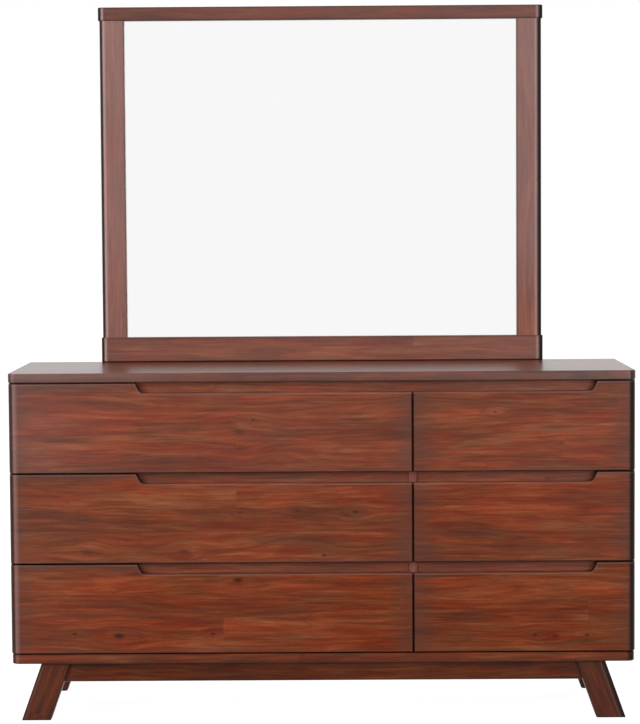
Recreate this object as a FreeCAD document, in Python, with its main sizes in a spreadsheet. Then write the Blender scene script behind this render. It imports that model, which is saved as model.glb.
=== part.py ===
import FreeCAD, Part
import os
import Sketcher

# A wide dresser with six full-overlay drawers and a framed mirror on its back edge.
# Millimetres. +X points to the right, +Y to the back, +Z up. The origin is on the floor, under
# the middle of the whole object, and the drawers open towards -Y.

SIZES = (
    # case
    ("case_width", 1500, "across the drawer fronts"),
    ("case_depth", 450, "from the face of the drawer fronts to the back of the top"),
    ("case_height", 656, "between the bottom panel and the top panel"),
    ("leg_height", 140, "from the floor to the underside of the bottom panel"),
    ("top_thick", 22, "top panel"),
    ("top_overhang", 1, "top panel past the drawer fronts at each end"),
    ("bottom_thick", 22, "bottom panel"),
    ("bottom_inset", 1.5, "bottom panel short of the drawer fronts at the ends and the front"),
    ("corner_round", 18, "outer front corners, seen from above"),
    ("edge_bevel", 1.5, "broken edges of panels and fronts"),
    ("side_thick", 20, "side panels"),
    ("partition_thick", 18, "upright between the wide and the narrow drawers"),
    ("partition_centre", 217.5, "partition to the right of the middle"),
    ("back_thick", 6, "back panel"),
    ("back_lap", 10, "back panel into its rabbets"),
    ("panel_clearance", 0.5, "back panel and mirror in their rabbets"),
    ("rail_thick", 20, "rails between the drawers"),
    ("rail_setback", 8, "rails behind the front edge of the case"),
    ("rail_lap_below", 7, "rail below the floor of the finger notch"),
    ("rail_lap_above", 4.5, "rail above the lower edge of the front over it"),
    ("rear_rail_height", 50, "rail inside the back, under the top"),
    # drawer fronts
    ("reveal", 3, "gap round each drawer front"),
    ("front_thick", 22, "drawer fronts"),
    ("front_gap", 2, "drawer front off the front edge of the case"),
    ("notch_depth", 23, "finger notch in the upper edge"),
    ("notch_left_margin", 306.5, "left end of the case to the notch"),
    ("notch_right_margin", 93, "right end of the case to the notch"),
    ("notch_slope_width", 11, "width of the sloped end of the notch"),
    ("notch_fillet", 16, "foot of the sloped end"),
    ("notch_corner_radius", 3, "head of the sloped end"),
    ("cove_radius", 10, "finger cove behind the floor of the notch"),
    ("pad_width", 7, "felt pads behind the fronts"),
    ("pad_height", 20, "pad above the lower edge of its front"),
    ("pad_clearance", 0.3, "pad off its front"),
    # drawer boxes
    ("box_wall", 12, "sides and ends of the boxes"),
    ("tail_clearance", 0.1, "glue line round the dovetails"),
    ("box_lift_height", 18, "box above the lower edge of its front"),
    ("box_head_gap", 26, "box below the rail over it"),
    ("box_rear_gap", 22, "box ahead of the back panel"),
    ("box_bottom_thick", 6, "bottom boards of the boxes"),
    ("groove_depth", 6, "groove for the bottom board"),
    ("groove_height", 12, "groove above the lower edge of the box"),
    ("groove_clearance", 0.3, "bottom board in its groove"),
    # telescopic slides
    ("slide_thick", 12.7, "between the case and the drawer box on each side"),
    ("slide_height", 45, "case member"),
    ("slide_inset", 2, "slide behind the front edge of the case"),
    ("slide_rear_gap", 18, "slide ahead of the back panel"),
    ("member_thick", 1.2, "thickness of the three members"),
    ("slide_lip", 1.6, "turned-in lips of the channels"),
    ("case_member_depth", 9.5, "flanges of the case member"),
    ("middle_gap", 3, "middle member off the case"),
    ("middle_depth", 8, "flanges of the middle member"),
    ("drawer_member_depth", 6.7, "flanges of the drawer member"),
    ("ball_diameter", 3.4, "diameter of the ball rows"),
    ("ball_clearance", 0.2, "ball rows off their races"),
    ("cage_thick", 0.8, "ball cages"),
    ("cage_gap", 0.5, "ball cage off the web that it runs along"),
    ("cage_length", 80, "ball cages"),
    ("outer_ball_offset", 6.2, "outer ball row off the case"),
    ("inner_ball_offset", 7.9, "inner ball row off the case"),
    # base
    ("leg_width", 70, "legs, measured level"),
    ("leg_thick", 45, "legs, front to back"),
    ("leg_lean_width", 50, "lean of a leg over its height"),
    ("leg_foot_inset", 21, "foot inside the end of the case"),
    ("leg_front_inset", 17, "front leg behind the drawer fronts"),
    ("leg_rear_inset", 25, "rear leg ahead of the back of the case"),
    ("leg_round", 4, "long edges of the legs"),
    ("apron_height", 49, "aprons between the legs"),
    ("apron_thick", 20, "aprons"),
    ("apron_setback", 12, "long aprons behind the faces of the legs"),
    ("apron_round", 6, "lower edge of the front apron"),
    ("end_apron_inset", 16, "end apron inside the head of its leg"),
    ("block_side", 55, "corner blocks, along each apron"),
    ("block_height", 38, "corner blocks"),
    # mirror
    ("mirror_width", 1129, "over the rails"),
    ("mirror_height", 902, "over the rails"),
    ("mirror_low_rail", 63, "height of the lower rail"),
    ("mirror_high_rail", 34, "height of the upper rail"),
    ("mirror_rail_thick", 25, "rails, front to back"),
    ("stile_thick", 23.5, "stiles, front to back"),
    ("stile_width", 63, "stiles"),
    ("stile_inset", 3.5, "stile inside the end of the rails"),
    ("mirror_corner_round", 10, "outer front edges of rails and stiles"),
    ("rabbet_width", 8, "lap of the frame over the glass"),
    ("rabbet_depth", 11, "rabbet from the back of the frame"),
    ("glass_thick", 4, "mirror glass"),
    ("backing_thick", 5, "board behind the glass"),
    ("tenon_width", 36, "loose tenons between rails and stiles"),
    ("tenon_thick", 8, "tenons"),
    ("tenon_length", 40, "tenons"),
    ("tenon_setback", 8, "tenons ahead of the back of the frame"),
    ("tenon_clearance", 0.2, "tenon in its mortises"),
    ("support_width", 48, "upright battens behind the mirror"),
    ("support_thick", 18, "battens"),
    ("support_foot", 480, "lower end of the battens above the floor"),
    ("support_head", 1440, "upper end of the battens above the floor"),
    ("support_bevel", 6, "bevelled upper edge of the battens"),
)

# Places worked out from the sizes, in the order in which they build on each other.
PLACES = (
    ("front_face", "-(sizes.case_depth + sizes.support_thick) / 2"),
    ("front_back", "front_face + sizes.front_thick"),
    ("case_front", "front_back + sizes.front_gap"),
    ("case_back", "front_face + sizes.case_depth"),
    ("panel_face", "case_back - sizes.back_thick"),
    ("case_half", "sizes.case_width / 2"),
    ("side_inner", "case_half - sizes.side_thick"),
    ("case_floor", "sizes.leg_height + sizes.bottom_thick"),
    ("case_top", "case_floor + sizes.case_height"),
    ("front_height", "(sizes.case_height - 4 * sizes.reveal) / 3"),
    ("row_pitch", "front_height + sizes.reveal"),
    ("rail_front", "case_front + sizes.rail_setback"),
    ("rail_back", "rail_front + sizes.rail_thick"),
    ("rail_rise", "front_height - sizes.notch_depth - sizes.rail_lap_below"),
    ("top_rail_low", "case_floor + sizes.reveal + 2 * row_pitch + rail_rise"),
    ("rear_rail_low", "case_top - sizes.rear_rail_height"),
    ("rear_rail_front", "panel_face - sizes.rail_thick"),
    ("partition_left", "sizes.partition_centre - sizes.partition_thick / 2"),
    ("partition_right", "sizes.partition_centre + sizes.partition_thick / 2"),
    ("box_length", "panel_face - sizes.box_rear_gap - front_back"),
    ("box_height", "rail_rise - sizes.box_head_gap - sizes.box_lift_height"),
    ("slide_front", "case_front + sizes.slide_inset"),
    ("slide_back", "panel_face - sizes.slide_rear_gap"),
    ("slide_length", "slide_back - slide_front"),
    ("slide_half", "sizes.slide_height / 2"),
    ("ball_gap", "sizes.ball_diameter + 2 * sizes.ball_clearance"),
    ("middle_half", "slide_half - sizes.member_thick - ball_gap"),
    ("inner_half", "middle_half - sizes.member_thick - ball_gap"),
    ("leg_foot", "case_half - sizes.leg_foot_inset"),
    ("leg_head", "leg_foot - sizes.leg_lean_width"),
    ("front_leg_face", "front_face + sizes.leg_front_inset"),
    ("front_leg_back", "front_leg_face + sizes.leg_thick"),
    ("rear_leg_back", "case_back - sizes.leg_rear_inset"),
    ("rear_leg_face", "rear_leg_back - sizes.leg_thick"),
    ("apron_low", "sizes.leg_height - sizes.apron_height"),
    ("end_apron_outer", "leg_head - sizes.end_apron_inset"),
    ("end_apron_inner", "end_apron_outer - sizes.apron_thick"),
    ("mirror_foot", "case_top + sizes.top_thick"),
    ("mirror_head", "mirror_foot + sizes.mirror_height"),
    ("stile_low", "mirror_foot + sizes.mirror_low_rail"),
    ("stile_high", "mirror_head - sizes.mirror_high_rail"),
    ("mirror_half", "sizes.mirror_width / 2"),
    ("stile_outer", "mirror_half - sizes.stile_inset"),
    ("stile_inner", "stile_outer - sizes.stile_width"),
    ("stile_centre", "stile_outer - sizes.stile_width / 2"),
    ("rabbet_face", "case_back - sizes.rabbet_depth"),
    ("rabbet_outer", "stile_inner + sizes.rabbet_width"),
    ("rabbet_low", "stile_low - sizes.rabbet_width"),
    ("rabbet_high", "stile_high + sizes.rabbet_width"),
    ("support_back", "case_back + sizes.support_thick"),
)

ROWS = ("lower", "middle", "upper")
LEFT = "-1"
RIGHT = "1"

# Dovetails: how many, and their half width at the tip and at the root as shares of their pitch.
TAIL_COUNT = 4
TAIL_TIP_SHARE = 0.36
TAIL_ROOT_SHARE = 0.27

# Start of the ball cages along the slide, as shares of its length.
OUTER_CAGE_SHARE = 0.65
INNER_CAGE_SHARE = 0.15

# Half of an octagon's side as a share of the circle inside it.
OCTAGON_SHARE = 0.4142

# Cuts run this far past the faces that they open.
OVERRUN = 1.0
# Points closer together than this count as one.
TOUCH = 0.001

doc = FreeCAD.newDocument("dresser")
sizes = doc.addObject("Spreadsheet::Sheet", "sizes")
places = doc.addObject("Spreadsheet::Sheet", "places")
nodes = []


def fill_sheets():
    """Write the driving sizes as plain numbers and the places as formulas on them."""
    for row, (name, value, meaning) in enumerate(SIZES, 1):
        sizes.set(f"A{row}", name)
        sizes.set(f"B{row}", str(value))
        sizes.set(f"C{row}", meaning)
        sizes.setAlias(f"B{row}", name)
    doc.recompute()
    for row, (name, formula) in enumerate(PLACES, 1):
        places.set(f"A{row}", name)
        places.set(f"B{row}", f"={formula}")
        places.setAlias(f"B{row}", name)
    doc.recompute()


def number(formula):
    """The value of a formula on the two sheets."""
    return float(places.evalExpression(formula))


def new_body(label):
    """An empty body."""
    body = doc.addObject("PartDesign::Body", label)
    body.Label = label
    return body


def new_node(label):
    """An empty body that becomes a piece of the dresser."""
    body = new_body(label)
    nodes.append(body)
    return body


def rectangle(left, right, low, high):
    """The four corners of an upright rectangle in a sketch."""
    return [(left, low), (right, low), (right, high), (left, high)]


def new_sketch(body, name, plane, low, high):
    """A sketch on an origin plane, moved to the end of low..high that the plane's normal leaves."""
    sketch = body.newObject("Sketcher::SketchObject", f"{name}_sketch")
    support = [feature for feature in body.Origin.OriginFeatures if feature.Role == plane][0]
    sketch.AttachmentSupport = [(support, "")]
    sketch.MapMode = "FlatFace"
    place = f"-({high})" if plane == "XZ_Plane" else low
    sketch.setExpression(".AttachmentOffset.Base.z", place)
    return sketch


def draw_outlines(sketch, outlines):
    """Closed outlines with straight sides, each corner held by two formulas."""
    for outline in outlines:
        spots = [FreeCAD.Vector(number(across), number(up), 0) for across, up in outline]
        count = len(spots)
        first = sketch.GeometryCount
        lines = [Part.LineSegment(spots[turn], spots[(turn + 1) % count]) for turn in range(count)]
        sketch.addGeometry(lines, False)
        held = sketch.ConstraintCount
        joins = [
            Sketcher.Constraint("Coincident", first + turn, 2, first + (turn + 1) % count, 1)
            for turn in range(count)
        ]
        for turn, spot in enumerate(spots):
            joins.append(Sketcher.Constraint("DistanceX", -1, 1, first + turn, 1, spot.x))
            joins.append(Sketcher.Constraint("DistanceY", -1, 1, first + turn, 1, spot.y))
        sketch.addConstraint(joins)
        for turn, (across, up) in enumerate(outline):
            sketch.setExpression(f"Constraints[{held + count + 2 * turn}]", across)
            sketch.setExpression(f"Constraints[{held + count + 2 * turn + 1}]", up)


def draw_circles(sketch, centres, radius):
    """Circles of one radius, each centre held by two formulas."""
    for across, up in centres:
        centre = FreeCAD.Vector(number(across), number(up), 0)
        circle = Part.Circle(centre, FreeCAD.Vector(0, 0, 1), number(radius))
        index = sketch.addGeometry(circle, False)
        held = sketch.ConstraintCount
        sketch.addConstraint([
            Sketcher.Constraint("DistanceX", -1, 1, index, 3, centre.x),
            Sketcher.Constraint("DistanceY", -1, 1, index, 3, centre.y),
            Sketcher.Constraint("Radius", index, number(radius)),
        ])
        sketch.setExpression(f"Constraints[{held}]", across)
        sketch.setExpression(f"Constraints[{held + 1}]", up)
        sketch.setExpression(f"Constraints[{held + 2}]", radius)


def run_sketch(body, name, sketch, low, high, cut):
    """Pad or pocket a sketch over the whole of low..high."""
    feature = body.newObject("PartDesign::Pocket" if cut else "PartDesign::Pad", name)
    feature.Profile = sketch
    feature.Reversed = cut
    feature.setExpression("Length", f"({high}) - ({low})")
    return feature


def prism(body, name, plane, outlines, low, high, cut=False):
    """Straight-sided outlines carried from low to high along the normal of an origin plane."""
    sketch = new_sketch(body, name, plane, low, high)
    draw_outlines(sketch, outlines)
    return run_sketch(body, name, sketch, low, high, cut)


def rods(body, name, plane, centres, radius, low, high, cut=False):
    """Round rods or holes from low to high along the normal of an origin plane."""
    sketch = new_sketch(body, name, plane, low, high)
    draw_circles(sketch, centres, radius)
    return run_sketch(body, name, sketch, low, high, cut)


def near(first, second):
    """Whether two lengths are the same."""
    return abs(first - second) < TOUCH


def edges_where(feature, test):
    """Names of the edges whose ends and middle all pass a test on the point."""
    names = []
    for index, edge in enumerate(feature.Shape.Edges, 1):
        middle = edge.valueAt((edge.FirstParameter + edge.LastParameter) / 2)
        points = [vertex.Point for vertex in edge.Vertexes] + [middle]
        if all(test(point) for point in points):
            names.append(f"Edge{index}")
    return names


def dress_edges(body, name, base, size, test, kind="Fillet"):
    """Round or bevel the edges of a feature that pass a test."""
    doc.recompute()
    feature = body.newObject(f"PartDesign::{kind}", name)
    feature.Base = (base, edges_where(base, test))
    feature.setExpression("Radius" if kind == "Fillet" else "Size", size)
    doc.recompute()
    return feature


def group(label, copies):
    """A node of like solids: each copy is (pattern body, x, y, z, turn about Z in degrees)."""
    links = []
    for index, (pattern, across, deep, up, turn) in enumerate(copies, 1):
        link = doc.addObject("App::Link", f"{label}_{index}")
        link.LinkedObject = pattern
        rotation = FreeCAD.Rotation(FreeCAD.Vector(0, 0, 1), turn)
        link.Placement = FreeCAD.Placement(FreeCAD.Vector(), rotation)
        link.setExpression(".Placement.Base.x", across)
        link.setExpression(".Placement.Base.y", deep)
        link.setExpression(".Placement.Base.z", up)
        links.append(link)
    compound = doc.addObject("Part::Compound", label)
    compound.Label = label
    compound.Links = links
    nodes.append(compound)


def front_low(row):
    """Lower edge of the drawer fronts of a row, counted from the lowest."""
    return f"(places.case_floor + sizes.reveal + {row} * places.row_pitch)"


def bay(bank):
    """Left and right wall of the wide or the narrow bank of drawers."""
    if bank == "wide":
        return "-places.side_inner", "places.partition_left"
    return "places.partition_right", "places.side_inner"


def slab(label, half_width, face, low, high):
    """A level panel with rounded front corners and broken edges, rabbeted for the back panel."""
    body = new_node(label)
    outline = rectangle(f"-({half_width})", half_width, face, "places.case_back")
    board = prism(body, "board", "XY_Plane", [outline], low, high)
    front, back = number(face), number("places.case_back")
    bottom, top = number(low), number(high)
    corners = dress_edges(
        body, "corners", board, "sizes.corner_round",
        lambda point: near(point.y, front) and near(abs(point.x), number(half_width)),
    )
    return dress_edges(
        body, "edges", corners, "sizes.edge_bevel",
        lambda point: near(point.y, front) and (near(point.z, bottom) or near(point.z, top)), "Chamfer",
    )


def top_panel():
    """The top, with a rabbet under its back edge."""
    half_width = "places.case_half + sizes.top_overhang"
    slab("top_panel", half_width, "places.front_face", "places.case_top", "places.mirror_foot")
    body = nodes[-1]
    lap = "places.side_inner + sizes.back_lap"
    opening = rectangle(f"-({lap})", lap, f"places.case_top - {OVERRUN}", "places.case_top + sizes.back_lap")
    prism(body, "rabbet", "XZ_Plane", [opening], "places.panel_face", f"places.case_back + {OVERRUN}", True)


def bottom_panel():
    """The bottom, with a rabbet over its back edge."""
    half_width = "places.case_half - sizes.bottom_inset"
    face = "places.front_face + sizes.bottom_inset"
    slab("bottom_panel", half_width, face, "sizes.leg_height", "places.case_floor")
    body = nodes[-1]
    lap = "places.side_inner + sizes.back_lap"
    opening = rectangle(
        f"-({lap})", lap, "places.case_floor - sizes.back_lap", f"places.case_floor + {OVERRUN}")
    prism(body, "rabbet", "XZ_Plane", [opening], "places.panel_face", f"places.case_back + {OVERRUN}", True)


def side_panels():
    """The two sides, each rabbeted along its back edge."""
    for side, hand in (("left", LEFT), ("right", RIGHT)):
        body = new_node(f"side_panel_{side}")
        lap = f"{hand} * (places.side_inner + sizes.back_lap)"
        outline = [
            (f"{hand} * places.case_half", "places.case_front"),
            (f"{hand} * places.case_half", "places.case_back"),
            (lap, "places.case_back"),
            (lap, "places.panel_face"),
            (f"{hand} * places.side_inner", "places.panel_face"),
            (f"{hand} * places.side_inner", "places.case_front"),
        ]
        prism(body, "board", "XY_Plane", [outline], "places.case_floor", "places.case_top")


def partition():
    """The upright between the banks, notched for the top rail and the rear rail."""
    body = new_node("partition")
    outline = [
        ("places.case_front", "places.case_floor"),
        ("places.panel_face", "places.case_floor"),
        ("places.panel_face", "places.rear_rail_low"),
        ("places.rear_rail_front", "places.rear_rail_low"),
        ("places.rear_rail_front", "places.case_top"),
        ("places.rail_back", "places.case_top"),
        ("places.rail_back", "places.top_rail_low"),
        ("places.case_front", "places.top_rail_low"),
    ]
    prism(body, "board", "YZ_Plane", [outline], "places.partition_left", "places.partition_right")


def back_panel():
    """The thin back, let into rabbets all round."""
    body = new_node("back_panel")
    lap = "places.side_inner + sizes.back_lap - sizes.panel_clearance"
    outline = rectangle(
        f"-({lap})", lap,
        "places.case_floor - sizes.back_lap + sizes.panel_clearance",
        "places.case_top + sizes.back_lap - sizes.panel_clearance",
    )
    prism(body, "board", "XZ_Plane", [outline], "places.panel_face", "places.case_back")


def case_rails():
    """The rail under the top, the rails between the drawers and the rail inside the back."""
    body = new_node("top_rail")
    outline = rectangle("-places.side_inner", "places.side_inner", "places.top_rail_low", "places.case_top")
    prism(body, "board", "XZ_Plane", [outline], "places.rail_front", "places.rail_back")

    patterns = []
    for bank in ("wide", "narrow"):
        left, right = bay(bank)
        pattern = new_body(f"{bank}_rail_pattern")
        height = "sizes.notch_depth + sizes.rail_lap_below + sizes.reveal + sizes.rail_lap_above"
        prism(
            pattern, "board", "XZ_Plane", [rectangle(left, right, "0", height)],
            "places.rail_front", "places.rail_back",
        )
        patterns.append(pattern)
    group("drawer_rails", [
        (pattern, "0", "0", f"{front_low(row)} + places.rail_rise", 0)
        for row in range(2) for pattern in patterns
    ])

    body = new_node("rear_rail")
    outline = rectangle("-places.side_inner", "places.side_inner", "places.rear_rail_low", "places.case_top")
    prism(body, "board", "XZ_Plane", [outline], "places.rear_rail_front", "places.panel_face")


def leg_inner(height):
    """Inner face of a right leg at a height above the floor."""
    return f"(places.leg_foot - sizes.leg_width - sizes.leg_lean_width * ({height}) / sizes.leg_height)"


def legs():
    """Four plank legs that lean outwards, cut level at head and foot."""
    for end, face, back in (
        ("front", "places.front_leg_face", "places.front_leg_back"),
        ("rear", "places.rear_leg_face", "places.rear_leg_back"),
    ):
        for side, hand in (("left", LEFT), ("right", RIGHT)):
            body = new_node(f"leg_{end}_{side}")
            outline = [
                (f"{hand} * places.leg_foot", "0"),
                (f"{hand} * places.leg_head", "sizes.leg_height"),
                (f"{hand} * {leg_inner('sizes.leg_height')}", "sizes.leg_height"),
                (f"{hand} * {leg_inner('0')}", "0"),
            ]
            plank = prism(body, "plank", "XZ_Plane", [outline], face, back)
            doc.recompute()
            rise = number("sizes.leg_height")
            long_edges = [
                f"Edge{index}" for index, edge in enumerate(plank.Shape.Edges, 1)
                if near(edge.BoundBox.ZLength, rise)
            ]
            rounding = body.newObject("PartDesign::Fillet", "long_edges")
            rounding.Base = (plank, long_edges)
            rounding.setExpression("Radius", "sizes.leg_round")


def aprons():
    """Long aprons shouldered to the lean of the legs, and straight end aprons."""
    low, high = "places.apron_low", "sizes.leg_height"
    for end, face in (
        ("front", "places.front_leg_face + sizes.apron_setback"),
        ("rear", "places.rear_leg_back - sizes.apron_setback - sizes.apron_thick"),
    ):
        body = new_node(f"apron_{end}")
        outline = [
            (f"-{leg_inner(low)}", low),
            (leg_inner(low), low),
            (leg_inner(high), high),
            (f"-{leg_inner(high)}", high),
        ]
        board = prism(body, "board", "XZ_Plane", [outline], face, f"{face} + sizes.apron_thick")
        if end == "front":
            edge_y, edge_z = number(face), number(low)
            dress_edges(
                body, "lower_edge", board, "sizes.apron_round",
                lambda point: near(point.y, edge_y) and near(point.z, edge_z),
            )
    for side, hand in (("left", LEFT), ("right", RIGHT)):
        body = new_node(f"apron_{side}")
        near_x, far_x = "places.end_apron_inner", "places.end_apron_outer"
        if hand == LEFT:
            near_x, far_x = f"-{far_x}", f"-{near_x}"
        outline = rectangle("places.front_leg_back", "places.rear_leg_face", low, high)
        prism(body, "board", "YZ_Plane", [outline], near_x, far_x)


def cross_brace():
    """A board under the middle of the bottom panel, from the front apron to the rear apron."""
    body = new_node("cross_brace")
    front = "places.front_leg_face + sizes.apron_setback + sizes.apron_thick"
    back = "places.rear_leg_back - sizes.apron_setback - sizes.apron_thick"
    half = "sizes.apron_thick / 2"
    outline = rectangle(f"-{half}", half, front, back)
    prism(body, "board", "XY_Plane", [outline], "places.apron_low", "sizes.leg_height")


def corner_blocks():
    """Triangular glue blocks behind the legs, one in each corner of the base."""
    pattern = new_body("block_pattern")
    outline = [("0", "0"), ("sizes.block_side", "0"), ("0", "sizes.block_side")]
    prism(pattern, "block", "XY_Plane", [outline], "0", "sizes.block_height")
    low = "sizes.leg_height - sizes.block_height"
    group("corner_blocks", [
        (pattern, "-places.end_apron_inner", "places.front_leg_back", low, 0),
        (pattern, "places.end_apron_inner", "places.front_leg_back", low, 90),
        (pattern, "places.end_apron_inner", "places.rear_leg_face", low, 180),
        (pattern, "-places.end_apron_inner", "places.rear_leg_face", low, 270),
    ])


def drawer_front(label, bank, row):
    """A front with a sloped finger notch in its upper edge and a cove behind the notch."""
    low = front_low(row)
    high = f"({low} + places.front_height)"
    floor = f"({high} - sizes.notch_depth)"
    if bank == "wide":
        outer, inner = "-places.case_half", "(sizes.partition_centre - sizes.reveal / 2)"
        head = "(sizes.notch_left_margin - places.case_half)"
        foot = f"({head} + sizes.notch_slope_width)"
        cove_low, cove_high = f"{foot} + sizes.notch_fillet", f"{inner} + {OVERRUN}"
    else:
        outer, inner = "places.case_half", "(sizes.partition_centre + sizes.reveal / 2)"
        head = "(places.case_half - sizes.notch_right_margin)"
        foot = f"({head} - sizes.notch_slope_width)"
        cove_low, cove_high = f"{inner} - {OVERRUN}", f"{foot} - sizes.notch_fillet"
    outline = [(outer, low), (inner, low), (inner, floor), (foot, floor), (head, high), (outer, high)]

    body = new_node(label)
    board = prism(body, "board", "XZ_Plane", [outline], "places.front_face", "places.front_back")
    face = number("places.front_face")
    outer_x, foot_x, head_x = number(outer), number(foot), number(head)
    floor_z, high_z = number(floor), number(high)
    slope_foot = dress_edges(
        body, "slope_foot", board, "sizes.notch_fillet",
        lambda point: near(point.x, foot_x) and near(point.z, floor_z),
    )
    slope_head = dress_edges(
        body, "slope_head", slope_foot, "sizes.notch_corner_radius",
        lambda point: near(point.x, head_x) and near(point.z, high_z),
    )
    end_round = dress_edges(
        body, "end_round", slope_head, "sizes.corner_round",
        lambda point: near(point.x, outer_x) and near(point.y, face),
    )
    reach = number("places.case_half - sizes.corner_round")
    dress_edges(
        body, "face_edges", end_round, "sizes.edge_bevel",
        lambda point: near(point.y, face) and abs(point.x) < reach - TOUCH
        or near(point.y, face) and (near(point.z, high_z) or near(point.z, number(low))), "Chamfer",
    )
    rods(
        body, "cove", "YZ_Plane", [("places.front_back", floor)],
        "sizes.cove_radius", cove_low, cove_high, True,
    )


def tail_places():
    """Heights of the middles of the dovetails above the lower edge of the box."""
    return [f"({2 * tail + 1} * places.box_height / {2 * TAIL_COUNT})" for tail in range(TAIL_COUNT)]


def tail_half(share):
    """Half width of a dovetail where it takes this share of the pitch."""
    return f"({share} * places.box_height / {TAIL_COUNT})"


def box_side_pattern():
    """A drawer side with dovetails at both ends and a groove for the bottom board."""
    tip = f"({tail_half(TAIL_TIP_SHARE)} - sizes.tail_clearance)"
    root = f"({tail_half(TAIL_ROOT_SHARE)} - sizes.tail_clearance)"
    first = "(sizes.box_wall + sizes.tail_clearance)"
    last = f"(places.box_length - {first})"
    outline = [(first, "0"), (last, "0")]
    for middle in tail_places():
        outline += [
            (last, f"{middle} - {root}"),
            ("places.box_length", f"{middle} - {tip}"),
            ("places.box_length", f"{middle} + {tip}"),
            (last, f"{middle} + {root}"),
        ]
    outline += [(last, "places.box_height"), (first, "places.box_height")]
    for middle in reversed(tail_places()):
        outline += [
            (first, f"{middle} + {root}"),
            ("0", f"{middle} + {tip}"),
            ("0", f"{middle} - {tip}"),
            (first, f"{middle} - {root}"),
        ]
    body = new_body("box_side_pattern")
    prism(body, "board", "YZ_Plane", [outline], "0", "sizes.box_wall")
    stop = "(sizes.box_wall - sizes.groove_depth)"
    groove = rectangle(
        stop, f"places.box_length - {stop}",
        "sizes.groove_height", "sizes.groove_height + sizes.box_bottom_thick + sizes.groove_clearance",
    )
    prism(body, "groove", "YZ_Plane", [groove], stop, f"sizes.box_wall + {OVERRUN}", True)
    return body


def box_end_pattern(bank):
    """A drawer end between the sides: sockets for the dovetails and a groove for the bottom."""
    left, right = bay(bank)
    width = f"({right} - ({left}) - 2 * sizes.slide_thick)"
    tip, root = tail_half(TAIL_TIP_SHARE), tail_half(TAIL_ROOT_SHARE)
    sockets = [
        [
            ("0", f"{middle} - {tip}"),
            ("sizes.box_wall", f"{middle} - {root}"),
            ("sizes.box_wall", f"{middle} + {root}"),
            ("0", f"{middle} + {tip}"),
        ]
        for middle in tail_places()
    ]
    body = new_body(f"{bank}_box_end_pattern")
    prism(body, "board", "XZ_Plane", [rectangle("0", width, "0", "places.box_height")], "0", "sizes.box_wall")
    prism(body, "left_sockets", "YZ_Plane", sockets, "0", "sizes.box_wall", True)
    prism(body, "right_sockets", "YZ_Plane", sockets, f"{width} - sizes.box_wall", width, True)
    stop = "(sizes.box_wall - sizes.groove_depth)"
    groove = rectangle(
        stop, f"{width} - {stop}",
        "sizes.groove_height", "sizes.groove_height + sizes.box_bottom_thick + sizes.groove_clearance",
    )
    prism(body, "groove", "XZ_Plane", [groove], stop, f"sizes.box_wall + {OVERRUN}", True)
    return body


def channel(start, reach, half):
    """Section of a slide member: a channel that opens to the right, with turned-in lips."""
    end = f"({start} + {reach})"
    web = f"({start} + sizes.member_thick)"
    tip = f"({end} - sizes.member_thick)"
    inside = f"({half} - sizes.member_thick)"
    lip = f"({half} - sizes.slide_lip)"
    return [
        (start, f"-{half}"), (end, f"-{half}"), (end, f"-{lip}"), (tip, f"-{lip}"),
        (tip, f"-{inside}"), (web, f"-{inside}"), (web, inside), (tip, inside),
        (tip, lip), (end, lip), (end, half), (start, half),
    ]


def octagon(across, up):
    """Section of a row of balls: an octagon round the middle of the balls."""
    half = "sizes.ball_diameter / 2"
    side = f"{OCTAGON_SHARE} * {half}"
    steps = (
        (half, f"-{side}"), (half, side), (side, half), (f"-{side}", half),
        (f"-{half}", side), (f"-{half}", f"-{side}"), (f"-{side}", f"-{half}"), (side, f"-{half}"),
    )
    return [(f"{across} + ({step})", f"{up} + ({lift})") for step, lift in steps]


def cage(label, start, ball_place, ball_height, share):
    """A ball cage: a bent strip whose two edges carry the ball rows."""
    low = f"{share} * places.slide_length"
    high = f"{low} + sizes.cage_length"
    outer = f"({ball_height} + sizes.cage_thick / 2)"
    inner = f"({ball_height} - sizes.cage_thick / 2)"
    web = f"({start} + sizes.cage_thick)"
    strip = [
        (start, f"-{outer}"), (ball_place, f"-{outer}"), (ball_place, f"-{inner}"), (web, f"-{inner}"),
        (web, inner), (ball_place, inner), (ball_place, outer), (start, outer),
    ]
    body = new_body(label)
    prism(body, "strip", "XZ_Plane", [strip], low, high)
    rows = [octagon(ball_place, f"-{ball_height}"), octagon(ball_place, ball_height)]
    prism(body, "ball_rows", "XZ_Plane", rows, low, high)
    return body


def slide_patterns():
    """The three nested members of a telescopic slide and the two ball cages between them."""
    case_member = new_body("case_member_pattern")
    section = channel("0", "sizes.case_member_depth", "places.slide_half")
    prism(case_member, "member", "XZ_Plane", [section], "0", "places.slide_length")

    middle = new_body("middle_member_pattern")
    section = channel("sizes.middle_gap", "sizes.middle_depth", "places.middle_half")
    prism(middle, "member", "XZ_Plane", [section], "0", "places.slide_length")

    drawer_member = new_body("drawer_member_pattern")
    web = "(sizes.slide_thick - sizes.member_thick)"
    tip = "(sizes.slide_thick - sizes.drawer_member_depth)"
    half, inside = "places.inner_half", "(places.inner_half - sizes.member_thick)"
    section = [
        (tip, f"-{half}"), ("sizes.slide_thick", f"-{half}"), ("sizes.slide_thick", half), (tip, half),
        (tip, inside), (web, inside), (web, f"-{inside}"), (tip, f"-{inside}"),
    ]
    prism(drawer_member, "member", "XZ_Plane", [section], "0", "places.slide_length")

    outer_cage = cage(
        "outer_cage_pattern", "(sizes.member_thick + sizes.cage_gap)", "sizes.outer_ball_offset",
        "(places.middle_half + places.ball_gap / 2)", OUTER_CAGE_SHARE,
    )
    inner_cage = cage(
        "inner_cage_pattern", "(sizes.middle_gap + sizes.member_thick + sizes.cage_gap)",
        "sizes.inner_ball_offset", "(places.inner_half + places.ball_gap / 2)", INNER_CAGE_SHARE,
    )
    return case_member, middle, drawer_member, outer_cage, inner_cage


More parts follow.
